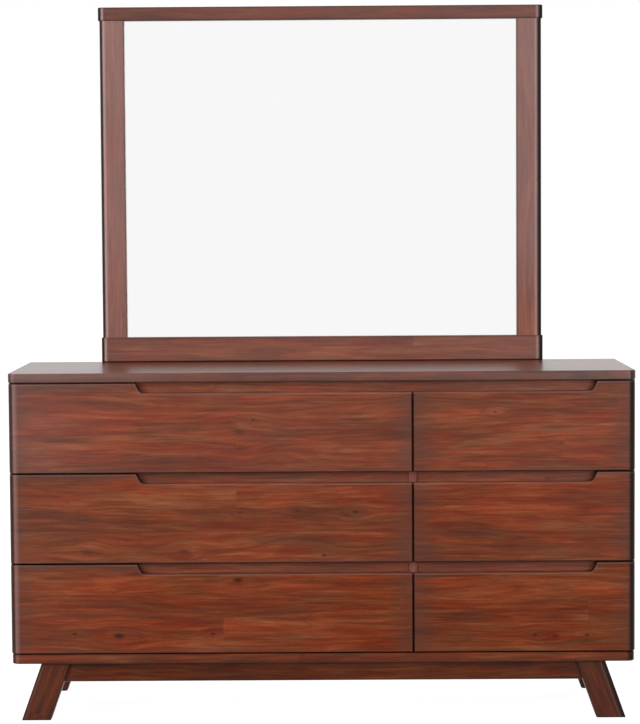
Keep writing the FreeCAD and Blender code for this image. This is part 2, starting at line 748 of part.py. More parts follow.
def on_both_walls(pattern, bank, row):
    """A slide part on the left wall of a bay and, turned about, on the right wall."""
    left, right = bay(bank)
    up = f"{front_low(row)} + sizes.box_lift_height + places.box_height / 2"
    return [
        (pattern, left, "places.slide_front", up, 0),
        (pattern, right, "places.slide_back", up, 180),
    ]


def turned_cage(copies, share):
    """Move the turned copy of a cage, so that both cages of a drawer stand at one depth."""
    left_copy, right_copy = copies
    pattern, across, _, up, turn = right_copy
    deep = f"places.slide_front + 2 * {share} * places.slide_length + sizes.cage_length"
    return [left_copy, (pattern, across, deep, up, turn)]


def drawers():
    """Six drawers: front, dovetailed box, bottom board and the moving members of the slides."""
    case_member, middle, drawer_member, outer_cage, inner_cage = slide_patterns()
    side = box_side_pattern()
    case_members = []
    for bank in ("wide", "narrow"):
        end = box_end_pattern(bank)
        left, right = bay(bank)
        box_left, box_right = f"({left} + sizes.slide_thick)", f"({right} - sizes.slide_thick)"
        box_back = "places.front_back + places.box_length"
        for row, name in enumerate(ROWS):
            label = f"{name}_{bank}"
            low = f"{front_low(row)} + sizes.box_lift_height"
            drawer_front(f"{label}_drawer_front", bank, row)
            group(f"{label}_drawer_box", [
                (side, box_left, "places.front_back", low, 0),
                (side, box_right, box_back, low, 180),
                (end, box_left, "places.front_back", low, 0),
                (end, box_right, box_back, low, 180),
            ])
            body = new_node(f"{label}_drawer_bottom")
            edge = "(sizes.box_wall - sizes.groove_depth + sizes.groove_clearance)"
            outline = rectangle(
                f"{box_left} + {edge}", f"{box_right} - {edge}",
                f"places.front_back + {edge}", f"{box_back} - {edge}",
            )
            rise = f"{low} + sizes.groove_height"
            prism(body, "board", "XY_Plane", [outline], rise, f"{rise} + sizes.box_bottom_thick")
            group(f"{label}_slide_inner", on_both_walls(drawer_member, bank, row))
            outer_pair = turned_cage(on_both_walls(outer_cage, bank, row), OUTER_CAGE_SHARE)
            inner_pair = turned_cage(on_both_walls(inner_cage, bank, row), INNER_CAGE_SHARE)
            group(f"{label}_slide_middle", on_both_walls(middle, bank, row) + outer_pair + inner_pair)
            case_members += on_both_walls(case_member, bank, row)
    group("slide_case_members", case_members)


def front_pads():
    """Small felt pads on the front edge of the case, two behind each drawer front."""
    pattern = new_body("pad_pattern")
    half = "sizes.pad_width / 2"
    outline = rectangle(f"-{half}", half, f"-{half}", half)
    prism(pattern, "pad", "XZ_Plane", [outline], "0", "sizes.front_gap - sizes.pad_clearance")
    deep = "places.front_back + sizes.pad_clearance"
    aside = "(sizes.partition_thick + sizes.reveal) / 4"
    columns = (
        "-places.side_inner - sizes.side_thick / 2",
        f"sizes.partition_centre - {aside}",
        f"sizes.partition_centre + {aside}",
        "places.side_inner + sizes.side_thick / 2",
    )
    group("front_pads", [
        (pattern, across, deep, f"{front_low(row)} + sizes.pad_height", 0)
        for row in range(len(ROWS)) for across in columns
    ])


def mortise(hand):
    """Outline of a mortise in the middle of a stile and in the rail over or under it."""
    half = "(sizes.tenon_width / 2 + sizes.tenon_clearance)"
    centre = f"{hand} * places.stile_centre"
    back = "places.case_back - sizes.tenon_setback + sizes.tenon_clearance"
    front = "places.case_back - sizes.tenon_setback - sizes.tenon_thick - sizes.tenon_clearance"
    return rectangle(f"{centre} - {half}", f"{centre} + {half}", front, back)


def mirror_rails():
    """The lower and the upper rail of the mirror, rabbeted behind and rounded at the ends."""
    depth = "(sizes.tenon_length / 2 + sizes.tenon_clearance)"
    face = "places.case_back - sizes.mirror_rail_thick"
    for name, low, high, open_low, open_high, hole_low, hole_high in (
        (
            "mirror_bottom_rail", "places.mirror_foot", "places.stile_low",
            "places.rabbet_low", f"places.stile_low + {OVERRUN}",
            f"places.stile_low - {depth}", "places.stile_low",
        ),
        (
            "mirror_top_rail", "places.stile_high", "places.mirror_head",
            f"places.stile_high - {OVERRUN}", "places.rabbet_high",
            "places.stile_high", f"places.stile_high + {depth}",
        ),
    ):
        body = new_node(name)
        outline = rectangle("-places.mirror_half", "places.mirror_half", low, high)
        board = prism(body, "board", "XZ_Plane", [outline], face, "places.case_back")
        front, end = number(face), number("places.mirror_half")
        ends = dress_edges(
            body, "ends", board, "sizes.mirror_corner_round",
            lambda point: near(point.y, front) and near(abs(point.x), end),
        )
        reach = number("places.mirror_half - sizes.mirror_corner_round")
        dress_edges(
            body, "edges", ends, "sizes.edge_bevel",
            lambda point: near(point.y, front) and abs(point.x) < reach + TOUCH
            and (near(point.z, number(low)) or near(point.z, number(high))), "Chamfer",
        )
        opening = rectangle("-places.rabbet_outer", "places.rabbet_outer", open_low, open_high)
        prism(
            body, "rabbet", "XZ_Plane", [opening],
            "places.rabbet_face", f"places.case_back + {OVERRUN}", True,
        )
        prism(body, "mortises", "XY_Plane", [mortise(LEFT), mortise(RIGHT)], hole_low, hole_high, True)


def mirror_stiles():
    """The two upright members between the rails, rabbeted behind."""
    depth = "(sizes.tenon_length / 2 + sizes.tenon_clearance)"
    face = "places.case_back - sizes.stile_thick"
    for side, hand in (("left", LEFT), ("right", RIGHT)):
        body = new_node(f"mirror_stile_{side}")
        outline = [
            (f"{hand} * places.stile_inner", face),
            (f"{hand} * places.stile_outer", face),
            (f"{hand} * places.stile_outer", "places.case_back"),
            (f"{hand} * places.rabbet_outer", "places.case_back"),
            (f"{hand} * places.rabbet_outer", "places.rabbet_face"),
            (f"{hand} * places.stile_inner", "places.rabbet_face"),
        ]
        board = prism(body, "board", "XY_Plane", [outline], "places.stile_low", "places.stile_high")
        front = number(face)
        outer, inner = number("places.stile_outer"), number("places.stile_inner")
        outer_edge = dress_edges(
            body, "outer_edge", board, "sizes.mirror_corner_round",
            lambda point: near(point.y, front) and near(abs(point.x), outer),
        )
        dress_edges(
            body, "inner_edge", outer_edge, "sizes.edge_bevel",
            lambda point: near(point.y, front) and near(abs(point.x), inner), "Chamfer",
        )
        prism(
            body, "lower_mortise", "XY_Plane", [mortise(hand)],
            "places.stile_low", f"places.stile_low + {depth}", True,
        )
        prism(
            body, "upper_mortise", "XY_Plane", [mortise(hand)],
            f"places.stile_high - {depth}", "places.stile_high", True,
        )


def frame_tenons():
    """Four loose tenons, one at each corner of the mirror frame."""
    pattern = new_body("tenon_pattern")
    outline = rectangle("-sizes.tenon_width / 2", "sizes.tenon_width / 2", "-sizes.tenon_thick", "0")
    prism(pattern, "tenon", "XY_Plane", [outline], "-sizes.tenon_length / 2", "sizes.tenon_length / 2")
    group("frame_tenons", [
        (pattern, f"{hand} * places.stile_centre", "places.case_back - sizes.tenon_setback", level, 0)
        for level in ("places.stile_low", "places.stile_high") for hand in (LEFT, RIGHT)
    ])


def mirror_panes():
    """The mirror glass against the lips of the frame, and the board that holds it there."""
    across = "places.rabbet_outer - sizes.panel_clearance"
    outline = rectangle(
        f"-({across})", across,
        "places.rabbet_low + sizes.panel_clearance", "places.rabbet_high - sizes.panel_clearance",
    )
    glass_back = "places.rabbet_face + sizes.glass_thick"
    body = new_node("mirror_glass")
    prism(body, "pane", "XZ_Plane", [outline], "places.rabbet_face", glass_back)
    body = new_node("mirror_backing")
    prism(body, "board", "XZ_Plane", [outline], glass_back, f"{glass_back} + sizes.backing_thick")


def mirror_supports():
    """Two upright battens on the back of the case and of the mirror frame."""
    for side, hand in (("left", LEFT), ("right", RIGHT)):
        body = new_node(f"mirror_support_{side}")
        centre = f"{hand} * places.stile_centre"
        outline = rectangle(
            f"{centre} - sizes.support_width / 2", f"{centre} + sizes.support_width / 2",
            "sizes.support_foot", "sizes.support_head",
        )
        board = prism(body, "board", "XZ_Plane", [outline], "places.case_back", "places.support_back")
        back, head = number("places.support_back"), number("sizes.support_head")
        dress_edges(
            body, "head_bevel", board, "sizes.support_bevel",
            lambda point: near(point.y, back) and near(point.z, head), "Chamfer",
        )


def check_and_write():
    """Stop if any object failed, then write one file for each node."""
    doc.recompute()
    for item in doc.Objects:
        if "Invalid" in item.State or "Error" in item.State:
            raise RuntimeError(f"{item.Label} failed")
    for node in nodes:
        if node.Shape.isNull() or not node.Shape.isValid():
            raise RuntimeError(f"{node.Label} has no valid shape")
    os.makedirs("parts", exist_ok=True)
    for node in nodes:
        node.Shape.exportStep(f"parts/{node.Label}.step")
    print(f"{len(nodes)} nodes, {sum(len(node.Shape.Solids) for node in nodes)} solids")


fill_sheets()
top_panel()
bottom_panel()
side_panels()
partition()
back_panel()
case_rails()
legs()
aprons()
cross_brace()
corner_blocks()
drawers()
front_pads()
mirror_rails()
mirror_stiles()
frame_tenons()
mirror_panes()
mirror_supports()
check_and_write()
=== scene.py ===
"""Looks of the bedroom dresser with its mirror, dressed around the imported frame.

The frame brings every board, slide and pane as a CAD node in metres. This script gives each node its
finish, adds the small hardware that the solids leave out and sets up the studio.

X runs to the right of the dresser, Y to its back and Z up. The dresser stands on Z = 0.
"""

import logging
import math
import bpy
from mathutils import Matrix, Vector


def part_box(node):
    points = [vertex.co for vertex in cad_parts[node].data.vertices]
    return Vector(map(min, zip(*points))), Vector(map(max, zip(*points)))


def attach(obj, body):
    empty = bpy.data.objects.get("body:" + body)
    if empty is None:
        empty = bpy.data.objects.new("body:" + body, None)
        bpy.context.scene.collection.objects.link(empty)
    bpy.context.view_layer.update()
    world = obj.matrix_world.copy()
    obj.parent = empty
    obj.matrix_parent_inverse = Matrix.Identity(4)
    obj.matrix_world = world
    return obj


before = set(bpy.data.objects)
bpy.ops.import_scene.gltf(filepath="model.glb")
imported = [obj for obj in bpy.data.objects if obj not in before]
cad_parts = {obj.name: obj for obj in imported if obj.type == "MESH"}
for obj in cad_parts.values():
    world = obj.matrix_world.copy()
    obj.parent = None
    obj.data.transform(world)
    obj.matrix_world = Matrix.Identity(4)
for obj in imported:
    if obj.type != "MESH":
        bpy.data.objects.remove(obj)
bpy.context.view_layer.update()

import zlib
from dataclasses import dataclass, field
from enum import Enum

import bpy
import numpy as np
from mathutils import Matrix, Vector

LOG = logging.getLogger("dresser")

Colour = tuple[float, float, float]
Socket = bpy.types.NodeSocket
Value = Socket | float
Triple = Socket | tuple[float, float, float]


class Axis(Enum):
    """An axis of the frame."""

    X = 0
    Y = 1
    Z = 2


class Bank(Enum):
    """The two stacks of drawers."""

    WIDE = "wide"
    NARROW = "narrow"


class Row(Enum):
    """The three rows of drawers."""

    LOWER = "lower"
    MIDDLE = "middle"
    UPPER = "upper"


def display(red: int, green: int, blue: int) -> Colour:
    """Turns a colour as a screen shows it into the linear colour that a shader takes.

    Args:
        red, green, blue: its parts, 0 to 255.

    Returns:
        The linear colour, 0 to 1.
    """
    shares = np.array([red, green, blue]) / 255
    linear = np.where(shares <= 0.04045, shares / 12.92, ((shares + 0.055) / 1.055) ** 2.4)
    return tuple(float(share) for share in linear)


def seed_of(name: str) -> float:
    """Gives a piece its own number between 0 and 1, the same on each run."""
    return (zlib.crc32(name.encode()) % 9973) / 9973


class Graph:
    """The node tree of a material or a world, written as short calls that hand on sockets."""

    def __init__(self, holder: bpy.types.Material | bpy.types.World) -> None:
        """Empties the tree of a material or a world.

        Args:
            holder: the material or the world.
        """
        self.holder = holder
        holder.use_nodes = True
        self.tree = holder.node_tree
        self.tree.nodes.clear()

    @staticmethod
    def of_material(name: str) -> "Graph":
        """Starts a new material of this name."""
        return Graph(bpy.data.materials.new(name))

    def node(self, kind: str, **settings: object) -> bpy.types.Node:
        """Adds a node.

        Args:
            kind: Blender's name for this kind of node.
            settings: its properties, by name.

        Returns:
            The node.
        """
        made = self.tree.nodes.new(kind)
        for key, value in settings.items():
            setattr(made, key, value)
        return made

    def feed(self, socket: Socket, value: object) -> None:
        """Links a socket to an input, or sets the input to a plain value.

        Args:
            socket: the input.
            value: an output to link, or a number, a colour or a vector.
        """
        if isinstance(value, bpy.types.NodeSocket):
            self.tree.links.new(value, socket)
        elif isinstance(value, tuple) and socket.type == "RGBA":
            socket.default_value = (*value, 1.0)
        else:
            socket.default_value = value

    def place(self) -> Socket:
        """The point on the piece, in metres of the frame."""
        return self.node("ShaderNodeTexCoord").outputs["Object"]

    def math(self, operation: str, *values: Value, clamp: bool = False) -> Socket:
        """One sum of up to three values.

        Args:
            operation: Blender's name for the sum.
            values: the values, in order.
            clamp: whether the result is held between 0 and 1.

        Returns:
            The result.
        """
        made = self.node("ShaderNodeMath", operation=operation, use_clamp=clamp)
        for socket, value in zip(made.inputs, values):
            self.feed(socket, value)
        return made.outputs[0]

    def plus(self, first: Value, second: Value) -> Socket:
        """Two values added."""
        return self.math("ADD", first, second)

    def minus(self, first: Value, second: Value) -> Socket:
        """The first value less the second."""
        return self.math("SUBTRACT", first, second)

    def times(self, first: Value, second: Value) -> Socket:
        """Two values multiplied."""
        return self.math("MULTIPLY", first, second)

    def swing(self, value: Value, weight: float, middle: float = 0.5) -> Socket:
        """How far a value strays from its middle, times a weight."""
        return self.times(self.minus(value, middle), weight)

    def length(self, first: Value, second: Value) -> Socket:
        """How long the way with these two parts is."""
        return self.math("SQRT", self.plus(self.times(first, first), self.times(second, second)))

    def vector(self, operation: str, first: Triple, second: Triple) -> Socket:
        """One sum of two vectors.

        Args:
            operation: Blender's name for the sum.
            first, second: the vectors.

        Returns:
            The result.
        """
        made = self.node("ShaderNodeVectorMath", operation=operation)
        self.feed(made.inputs[0], first)
        self.feed(made.inputs[1], second)
        return made.outputs["Vector"]

    def split(self, vector: Socket) -> list[Socket]:
        """Takes a vector apart.

        Args:
            vector: the vector.

        Returns:
            Its three parts.
        """
        made = self.node("ShaderNodeSeparateXYZ")
        self.feed(made.inputs[0], vector)
        return list(made.outputs)

    def join(self, first: Value, second: Value, third: Value) -> Socket:
        """Puts a vector together.

        Args:
            first, second, third: its parts.

        Returns:
            The vector.
        """
        made = self.node("ShaderNodeCombineXYZ")
        for socket, value in zip(made.inputs, (first, second, third)):
            self.feed(socket, value)
        return made.outputs[0]

    def noise(self, vector: Socket, detail: float = 2.0, roughness: float = 0.5) -> Socket:
        """Soft noise about 0.5, with one swell per unit of its vector.

        Args:
            vector: where the noise is read.
            detail, roughness: how many finer swells ride on each, and how strong they are.

        Returns:
            The noise.
        """
        made = self.node("ShaderNodeTexNoise", noise_dimensions="3D")
        self.feed(made.inputs["Vector"], vector)
        for name, value in (("Scale", 1.0), ("Detail", detail), ("Roughness", roughness)):
            made.inputs[name].default_value = value
        return made.outputs["Fac"]

    def scaled_noise(
        self, place: Socket, scale: Triple, detail: float = 2.0, roughness: float = 0.5,
    ) -> Socket:
        """Soft noise with this many swells in a metre along each axis."""
        return self.noise(self.vector("MULTIPLY", place, scale), detail, roughness)

    def chance(self, vector: Socket) -> list[Socket]:
        """Random numbers that stay the same over a whole cell.

        Args:
            vector: the cell.

        Returns:
            Three numbers between 0 and 1.
        """
        made = self.node("ShaderNodeTexWhiteNoise", noise_dimensions="3D")
        self.feed(made.inputs["Vector"], vector)
        return self.split(made.outputs["Color"])

    def span(
        self, value: Value, low: Value, high: Value, start: Value = 0.0, end: Value = 1.0,
        kind: str = "SMOOTHSTEP",
    ) -> Socket:
        """Maps a value from one range to another and holds it at both ends.

        Args:
            value: the value.
            low, high: the range that it comes from.
            start, end: what low and high become.
            kind: the shape of the way between them.

        Returns:
            The mapped value.
        """
        made = self.node("ShaderNodeMapRange", interpolation_type=kind, clamp=True)
        for name, given in (
            ("Value", value), ("From Min", low), ("From Max", high), ("To Min", start), ("To Max", end),
        ):
            self.feed(made.inputs[name], given)
        return made.outputs["Result"]

    def ramp(self, value: Socket, stops: tuple[tuple[float, Colour], ...]) -> Socket:
        """A colour that follows a value through fixed stops.

        Args:
            value: the value, 0 to 1.
            stops: the place of each stop and its colour.

        Returns:
            The colour.
        """
        made = self.node("ShaderNodeValToRGB")
        elements = made.color_ramp.elements
        while len(elements) < len(stops):
            elements.new(1.0)
        for element, (position, colour) in zip(elements, stops):
            element.position = position
            element.color = (*colour, 1.0)
        self.feed(made.inputs[0], value)
        return made.outputs["Color"]

    def mix(self, factor: Value, first: object, second: object, blend: str = "MIX") -> Socket:
        """Lays one colour over another.

        Args:
            factor: how much of the second shows, 0 to 1.
            first, second: the colours.
            blend: Blender's name for the way they are laid over each other.

        Returns:
            The mixed colour.
        """
        made = self.node("ShaderNodeMix", data_type="RGBA", blend_type=blend, clamp_factor=True)
        self.feed(made.inputs[0], factor)
        self.feed(made.inputs[6], first)
        self.feed(made.inputs[7], second)
        return made.outputs[2]

    def bump(self, height: Socket, distance: float) -> Socket:
        """A normal that follows a relief.

        Args:
            height: the relief, 0 to 1.
            distance: how high 1 is, in metres.

        Returns:
            The normal.
        """
        made = self.node("ShaderNodeBump")
        made.inputs["Distance"].default_value = distance
        made.inputs["Strength"].default_value = 1.0
        self.feed(made.inputs["Height"], height)
        return made.outputs["Normal"]

    def shader(self, kind: str, **inputs: object) -> Socket:
        """Adds a shader.

        Args:
            kind: Blender's name for the shader.
            inputs: its inputs by name, with underscores for blanks.

        Returns:
            The shader.
        """
        made = self.node(kind)
        for name, value in inputs.items():
            self.feed(made.inputs[name.replace("_", " ")], value)
        return made.outputs[0]

    def principled(self, **inputs: object) -> None:
        """The surface shader, joined to the output."""
        self.finish(self.shader("ShaderNodeBsdfPrincipled", **inputs))

    def choose(self, factor: Value, first: Socket, second: Socket) -> Socket:
        """Chooses between two shaders.

        Args:
            factor: 0 for the first and 1 for the second.
            first, second: the shaders.

        Returns:
            The chosen shader.
        """
        made = self.node("ShaderNodeMixShader")
        for socket, value in zip(made.inputs, (factor, first, second)):
            self.feed(socket, value)
        return made.outputs[0]

    def bounced(self, path: bpy.types.NodeOutputs) -> Socket:
        """1 for a ray that comes off gloss or through glass, 0 for others."""
        return self.math("MAXIMUM", path["Is Glossy Ray"], path["Is Transmission Ray"])

    def finish(self, shader: Socket, output: str = "ShaderNodeOutputMaterial") -> None:
        """Joins a shader to the output."""
        self.feed(self.node(output).inputs["Surface"], shader)


@dataclass(frozen=True)
class Knot:
    """A knot on a board: its place on the board's face and its size, in metres."""

    along: float
    across: float
    radius: float
    darkness: float = 0.75


@dataclass(frozen=True)
class Rim:
    """A line of glaze along one side of a board, with a rubbed pale line beside it.

    Attributes:
        axis: the axis that the side faces.
        side: -1 for the board's low side, 1 for its high side.
        solid, fade: how far in the line is at its full darkness, and where it ends, in metres.
        darkness: its strength, 0 to 1.
        pale, pale_width: the strength and the width of the painted highlight line, which lies just inside.
        reach_back: how far behind the board's front both have faded, in metres, or 0 where they run on.
    """

    axis: Axis
    side: int
    solid: float
    fade: float
    darkness: float = 0.9
    pale: float = 0.0
    pale_width: float = 0.006
    reach_back: float = 0.0


@dataclass(frozen=True)
class Notch:
    """The finger notch in a front's upper edge, whose outline a painted shadow line follows.

    Attributes:
        side: -1 where its sloped end is on the left, 1 where it is on the right.
        floor: the height of its floor.
        head, foot: where the slope meets the upper edge and the floor, in metres to the right.
        depth: how far the floor lies below the upper edge.
        rounding: how far the rounding between slope and floor reaches.
        turn: the range of the way past the slope, less the way below the floor, in which floor turns
            to slope.
        solid, fade: how far from the outline the dark line is at its full strength, and where it ends.
        slope_darkness, floor_darkness: its strength on the slope and along the floor, 0 to 1.
        pale: the strength of the painted highlight line below the floor.
        painted_highlight_band: how far from the outline the painted highlight line starts, is full, begins to
            fade and ends.
    """

    side: int
    floor: float
    head: float
    foot: float
    depth: float
    rounding: float = 0.017
    turn: tuple[float, float] = (-0.012, 0.002)
    solid: float = 0.0008
    fade: float = 0.0038
    slope_darkness: float = 0.92
    floor_darkness: float = 0.30
    pale: float = 0.13
    painted_highlight_band: tuple[float, float, float, float] = (0.0004, 0.0014, 0.0036, 0.0062)


@dataclass(frozen=True)
class Board:
    """How a piece of wood lies: its box, the way its grain runs and the marks of its figure.

    Attributes:
        name: the piece that is made of it.
        low, high: its lowest and highest corner.
        grain: the axis that the grain runs along.
        lean: how far the grain leans from upright towards +X, in radians.
        knots: the knots on its face.
        rims: the lines of painted shade and painted highlight along its sides.
        tone: how much lighter or darker than its neighbours it is.
        veil: how much painted mauve sheen, a painted reflection of the pale room, lies on it, 0 to 1, at its
            low end, middle and high end.
        veil_behind: the share of it that is left behind the board's front edge.
        edge: how much of the grey glaze is left along its edges, 0 to 1.
        notch: the notch in its upper edge, if it has one.
    """

    name: str
    low: Vector
    high: Vector
    grain: Axis = Axis.X
    lean: float = 0.0
    knots: tuple[Knot, ...] = ()
    rims: tuple[Rim, ...] = ()
    tone: float = 0.0
    veil: tuple[float, float, float] = (0.0, 0.0, 0.0)
    veil_behind: float = 1.0
    edge: float = 0.5
    notch: Notch | None = None

    @staticmethod
    def of(name: str, grain: Axis, **marks: object) -> "Board":
        """The board of a CAD node, as its box gives it."""
        low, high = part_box(name)
        return Board(name, low, high, grain, **marks)

    @property
    def face(self) -> Axis:
        """The axis across the board's wider side."""
        sizes = {axis: (self.high - self.low)[axis.value] for axis in Axis if axis is not self.grain}
        return max(sizes, key=sizes.get)

    @property
    def depth(self) -> Axis:
        """The axis through the board's thickness."""
        return next(axis for axis in Axis if axis not in (self.grain, self.face))


@dataclass(frozen=True)
class Layer:
    """One layer of noise in the wood.

    Attributes:
        stretch, fine: how many swells it has in a metre along the grain and across it.
        detail, roughness: how many finer swells ride on each, and how strong they are.
        weight: how far it moves what it is added to.
        low, high: where a peak of it starts and is full, if its peaks are streaks.
    """

    stretch: float
    fine: float
    detail: float = 2.0
    roughness: float = 0.5
    weight: float = 0.0
    low: float = 0.0
    high: float = 1.0


@dataclass(frozen=True)
class StainedWood:
    """Solid hardwood in a reddish-brown stain under satin lacquer, with grey glaze left at the edges.

    The figure is worked out in the board's own frame: along the grain, across its face, through its
    depth. Every layer of noise is stretched far along the grain and read on bent lines, so that its
    lines stay together. The contour lines of a slow noise give the arcs of the growth rings, and a
    random tone for each glued strip parts the boards of a panel.

    Attributes:
        deep, shade, body, light, bright: its stains, from the darkest to the palest.
        red_tint, brown_tint: what the stain is multiplied by where its hue leans to red or to brown.
        pale_fibre, dark_fibre: what it is multiplied by in the palest and the darkest fibre.
        streak, glaze, rim, veil, rubbed: the colours of dark streaks, of the grey glaze at the edges, of the
            knots'
        middles and the painted shade in the rims, of the painted mauve sheen and of the painted highlight
        lines.
        broad, veins, streaks, lines, pores: the layers that move the tone, from slow to fine.
        tint: the layer that moves the hue.
        dark, thin: the layers whose peaks are dark streaks.
        hairs, flecks: the layers that make the fibre paler or darker.
        wanders: how the lines of the grain stray from straight, with the weight in metres.
        edge_cloud: the layer that moves the glaze at the edges to and fro.
        strip_width, strip_length: the size of a glued strip, in metres.
        strip_shift, strip_jump: how far the strips of two rows, and the figures of two strips, can lie
            apart.
        strip_weight, strip_hue: how far a strip's own tone and hue move the board's.
        ring_count, ring_sway: how many rings a metre has across the grain, and how far they bend.
        ring_power, ring_fall: how late a ring darkens, and where it ends.
        ring_weight, ring_middle: how far the rings move the tone, and about which middle.
        hue_start: the hue of a plain board.
        line_fibre, fibre_range: how far the lines make the fibre paler, and its darkest and palest.
        knot_core: where a knot's dark middle is full and where it ends, as shares of its radius.
        knot_pull, knot_reach: how far it spreads the grain, and how far out, in radii.
        end_reach, upper_reach, lower_reach: how far in the glaze at each edge reaches, in metres.
        veil_front: how far behind the front edge the painted mauve sheen begins to thin and is thin.
        roughness, gloss, coat, coat_roughness: the lacquer.
    """

    deep: Colour = display(62, 22, 6)
    shade: Colour = display(92, 38, 14)
    body: Colour = display(114, 51, 21)
    light: Colour = display(138, 68, 36)
    bright: Colour = display(164, 91, 60)
    red_tint: Colour = (1.12, 0.88, 0.74)
    brown_tint: Colour = (0.89, 1.10, 1.22)
    pale_fibre: Colour = (1.10, 1.36, 1.66)
    dark_fibre: Colour = (0.89, 0.67, 0.46)
    streak: Colour = display(64, 34, 20)
    glaze: Colour = display(72, 50, 42)
    # The near-black of the knots' middles, and of the painted shade in the rims and along the notches.
    rim: Colour = display(17, 6, 2)
    # Painted mauve sheen: a painted reflection of the pale room in the satin lacquer, stronger on the upper
    # boards.
    veil: Colour = display(136, 117, 117)
    # Painted highlight: the pale line that stands in for the light caught by rounded edges and chamfers.
    painted_highlight: Colour = display(176, 150, 148)
    broad: Layer = Layer(3.0, 24.0, weight=0.60)
    veins: Layer = Layer(7.5, 70.0, weight=0.54)
    streaks: Layer = Layer(12.0, 140.0, weight=0.27)
    lines: Layer = Layer(26.0, 320.0, weight=0.12)
    pores: Layer = Layer(90.0, 1500.0, 1.0, weight=0.05)
    tint: Layer = Layer(7.0, 36.0, 3.0, weight=3.0)
    dark: Layer = Layer(6.5, 95.0, 1.0, weight=0.62, low=0.62, high=0.80)
    thin: Layer = Layer(2.4, 190.0, 1.0, weight=0.55, low=0.63, high=0.76)
    hairs: Layer = Layer(7.0, 165.0, 1.0, weight=0.55)
    flecks: Layer = Layer(120.0, 380.0, 2.0, 0.6, weight=0.20)
    wanders: tuple[Layer, ...] = (
        Layer(1.5, 5.0, 1.0, weight=0.050), Layer(5.5, 22.0, 1.0, weight=0.010),
    )
    edge_cloud: Layer = Layer(7.0, 26.0, 3.0, weight=1.3)
    strip_width: float = 0.056
    strip_length: float = 2.6
    strip_shift: float = 3.0
    strip_jump: float = 40.0
    strip_weight: float = 0.13
    strip_hue: float = 0.45
    ring_count: float = 30.0
    ring_sway: float = 8.0
    ring_power: float = 2.2
    ring_fall: float = 0.82
    ring_weight: float = -0.13
    ring_middle: float = 0.26
    hue_start: float = 0.27
    line_fibre: float = 0.25
    fibre_range: tuple[float, float] = (0.36, 0.64)
    knot_core: tuple[float, float] = (0.15, 1.1)
    knot_pull: float = 0.72
    knot_reach: float = 6.0
    end_reach: float = 0.075
    upper_reach: float = 0.026
    lower_reach: float = 0.013
    veil_front: tuple[float, float] = (0.002, 0.014)
    roughness: float = 0.345
    gloss: float = 0.13
    coat: float = 0.04
    coat_roughness: float = 0.25

    def material(self, board: Board) -> bpy.types.Material:
        """The material of one board.

        Args:
            board: how the board lies.

        Returns:
            The finished material.
        """
        graph = Graph.of_material(f"stained_wood_{board.name}")
        along, across, deep = self.grain_frame(graph, board)
        knot_mask, bent = self.bend_round_knots(graph, board, along, across)
        tone, hue, streak, fibre, height = self.figure(graph, board, along, bent, deep)
        stains = (self.deep, self.shade, self.body, self.light, self.bright)
        colour = graph.ramp(tone, tuple(zip((0.06, 0.28, 0.50, 0.72, 0.94), stains)))
        colour = graph.mix(1.0, colour, graph.mix(hue, self.red_tint, self.brown_tint), "MULTIPLY")
        colour = graph.mix(1.0, colour, graph.mix(fibre, self.dark_fibre, self.pale_fibre), "MULTIPLY")
        colour = graph.mix(streak, colour, self.streak)
        colour = graph.mix(knot_mask, colour, self.rim)
        colour = graph.mix(self.edge_glaze(graph, board, along, across), colour, self.glaze)
        # Painted sheen: a pale mauve layer that stands in for the reflection of the room in the lacquer.
        if any(board.veil):
            colour = graph.mix(self.painted_sheen_share(graph, board, along), colour, self.veil)
        # Painted shade and painted highlights: dark lines in the gaps, on unlit ends and under overhangs,
        # pale lines beside them, and a painted shadow along the notch with a painted highlight below its
        # floor.
        for rim in board.rims:
            dark, pale = self.rim_lines(graph, board, rim)
            if rim.pale:
                colour = graph.mix(pale, colour, self.painted_highlight)
            colour = graph.mix(dark, colour, self.rim)
        if board.notch:
            dark, pale = self.notch_lines(graph, board.notch)
            colour = graph.mix(dark, graph.mix(pale, colour, self.painted_highlight), self.rim)
        graph.principled(
            Base_Color=colour,
            Roughness=graph.span(height, 0.2, 0.8, self.roughness + 0.06, self.roughness - 0.05),
            IOR=1.45,
            Specular_IOR_Level=self.gloss,
            Coat_Weight=self.coat,
            Coat_Roughness=self.coat_roughness,
            Normal=graph.bump(height, 0.0002),
        )
        return graph.holder

    def grain_frame(self, graph: Graph, board: Board) -> list[Socket]:
        """Turns the point on the piece into the board's own frame.

        Args:
            graph: the material.
            board: how the board lies.

        Returns:
            How far along, across and deep in the board the point is, in metres.
        """
        place = graph.place()
        if board.lean:
            turned = graph.node("ShaderNodeVectorRotate", rotation_type="Y_AXIS")
            graph.feed(turned.inputs["Vector"], place)
            turned.inputs["Angle"].default_value = -board.lean
            place = turned.outputs[0]
        parts = graph.split(place)
        return [parts[axis.value] for axis in (board.grain, board.face, board.depth)]

    def bend_round_knots(
        self, graph: Graph, board: Board, along: Socket, across: Socket,
    ) -> tuple[Value, Socket]:
        """Parts the grain round each knot and marks the knots themselves.

        A knot is an oval, twice as long along the grain as across it. Near it the grain is read closer
        to its middle line, by a share that falls with the distance, which spreads the lines round it.

        Args:
            graph: the material.
            board: the board that has the knots.
            along, across: the point in the board's own frame.

        Returns:
            The knots' own darkness, and the place across the grain with the lines bent round them.
        """
        mask: Value = 0.0
        bent = across
        for knot in board.knots:
            run = graph.times(graph.minus(along, knot.along), 0.5)
            rise = graph.minus(across, knot.across)
            distance = graph.length(run, rise)
            full, end = (share * knot.radius for share in self.knot_core)
            mask = graph.math("MAXIMUM", mask, graph.span(distance, full, end, knot.darkness, 0.0))
            reach = graph.span(distance, 0.0, self.knot_reach * knot.radius, self.knot_pull, 0.0)
            bent = graph.minus(bent, graph.times(rise, reach))
        return mask, bent

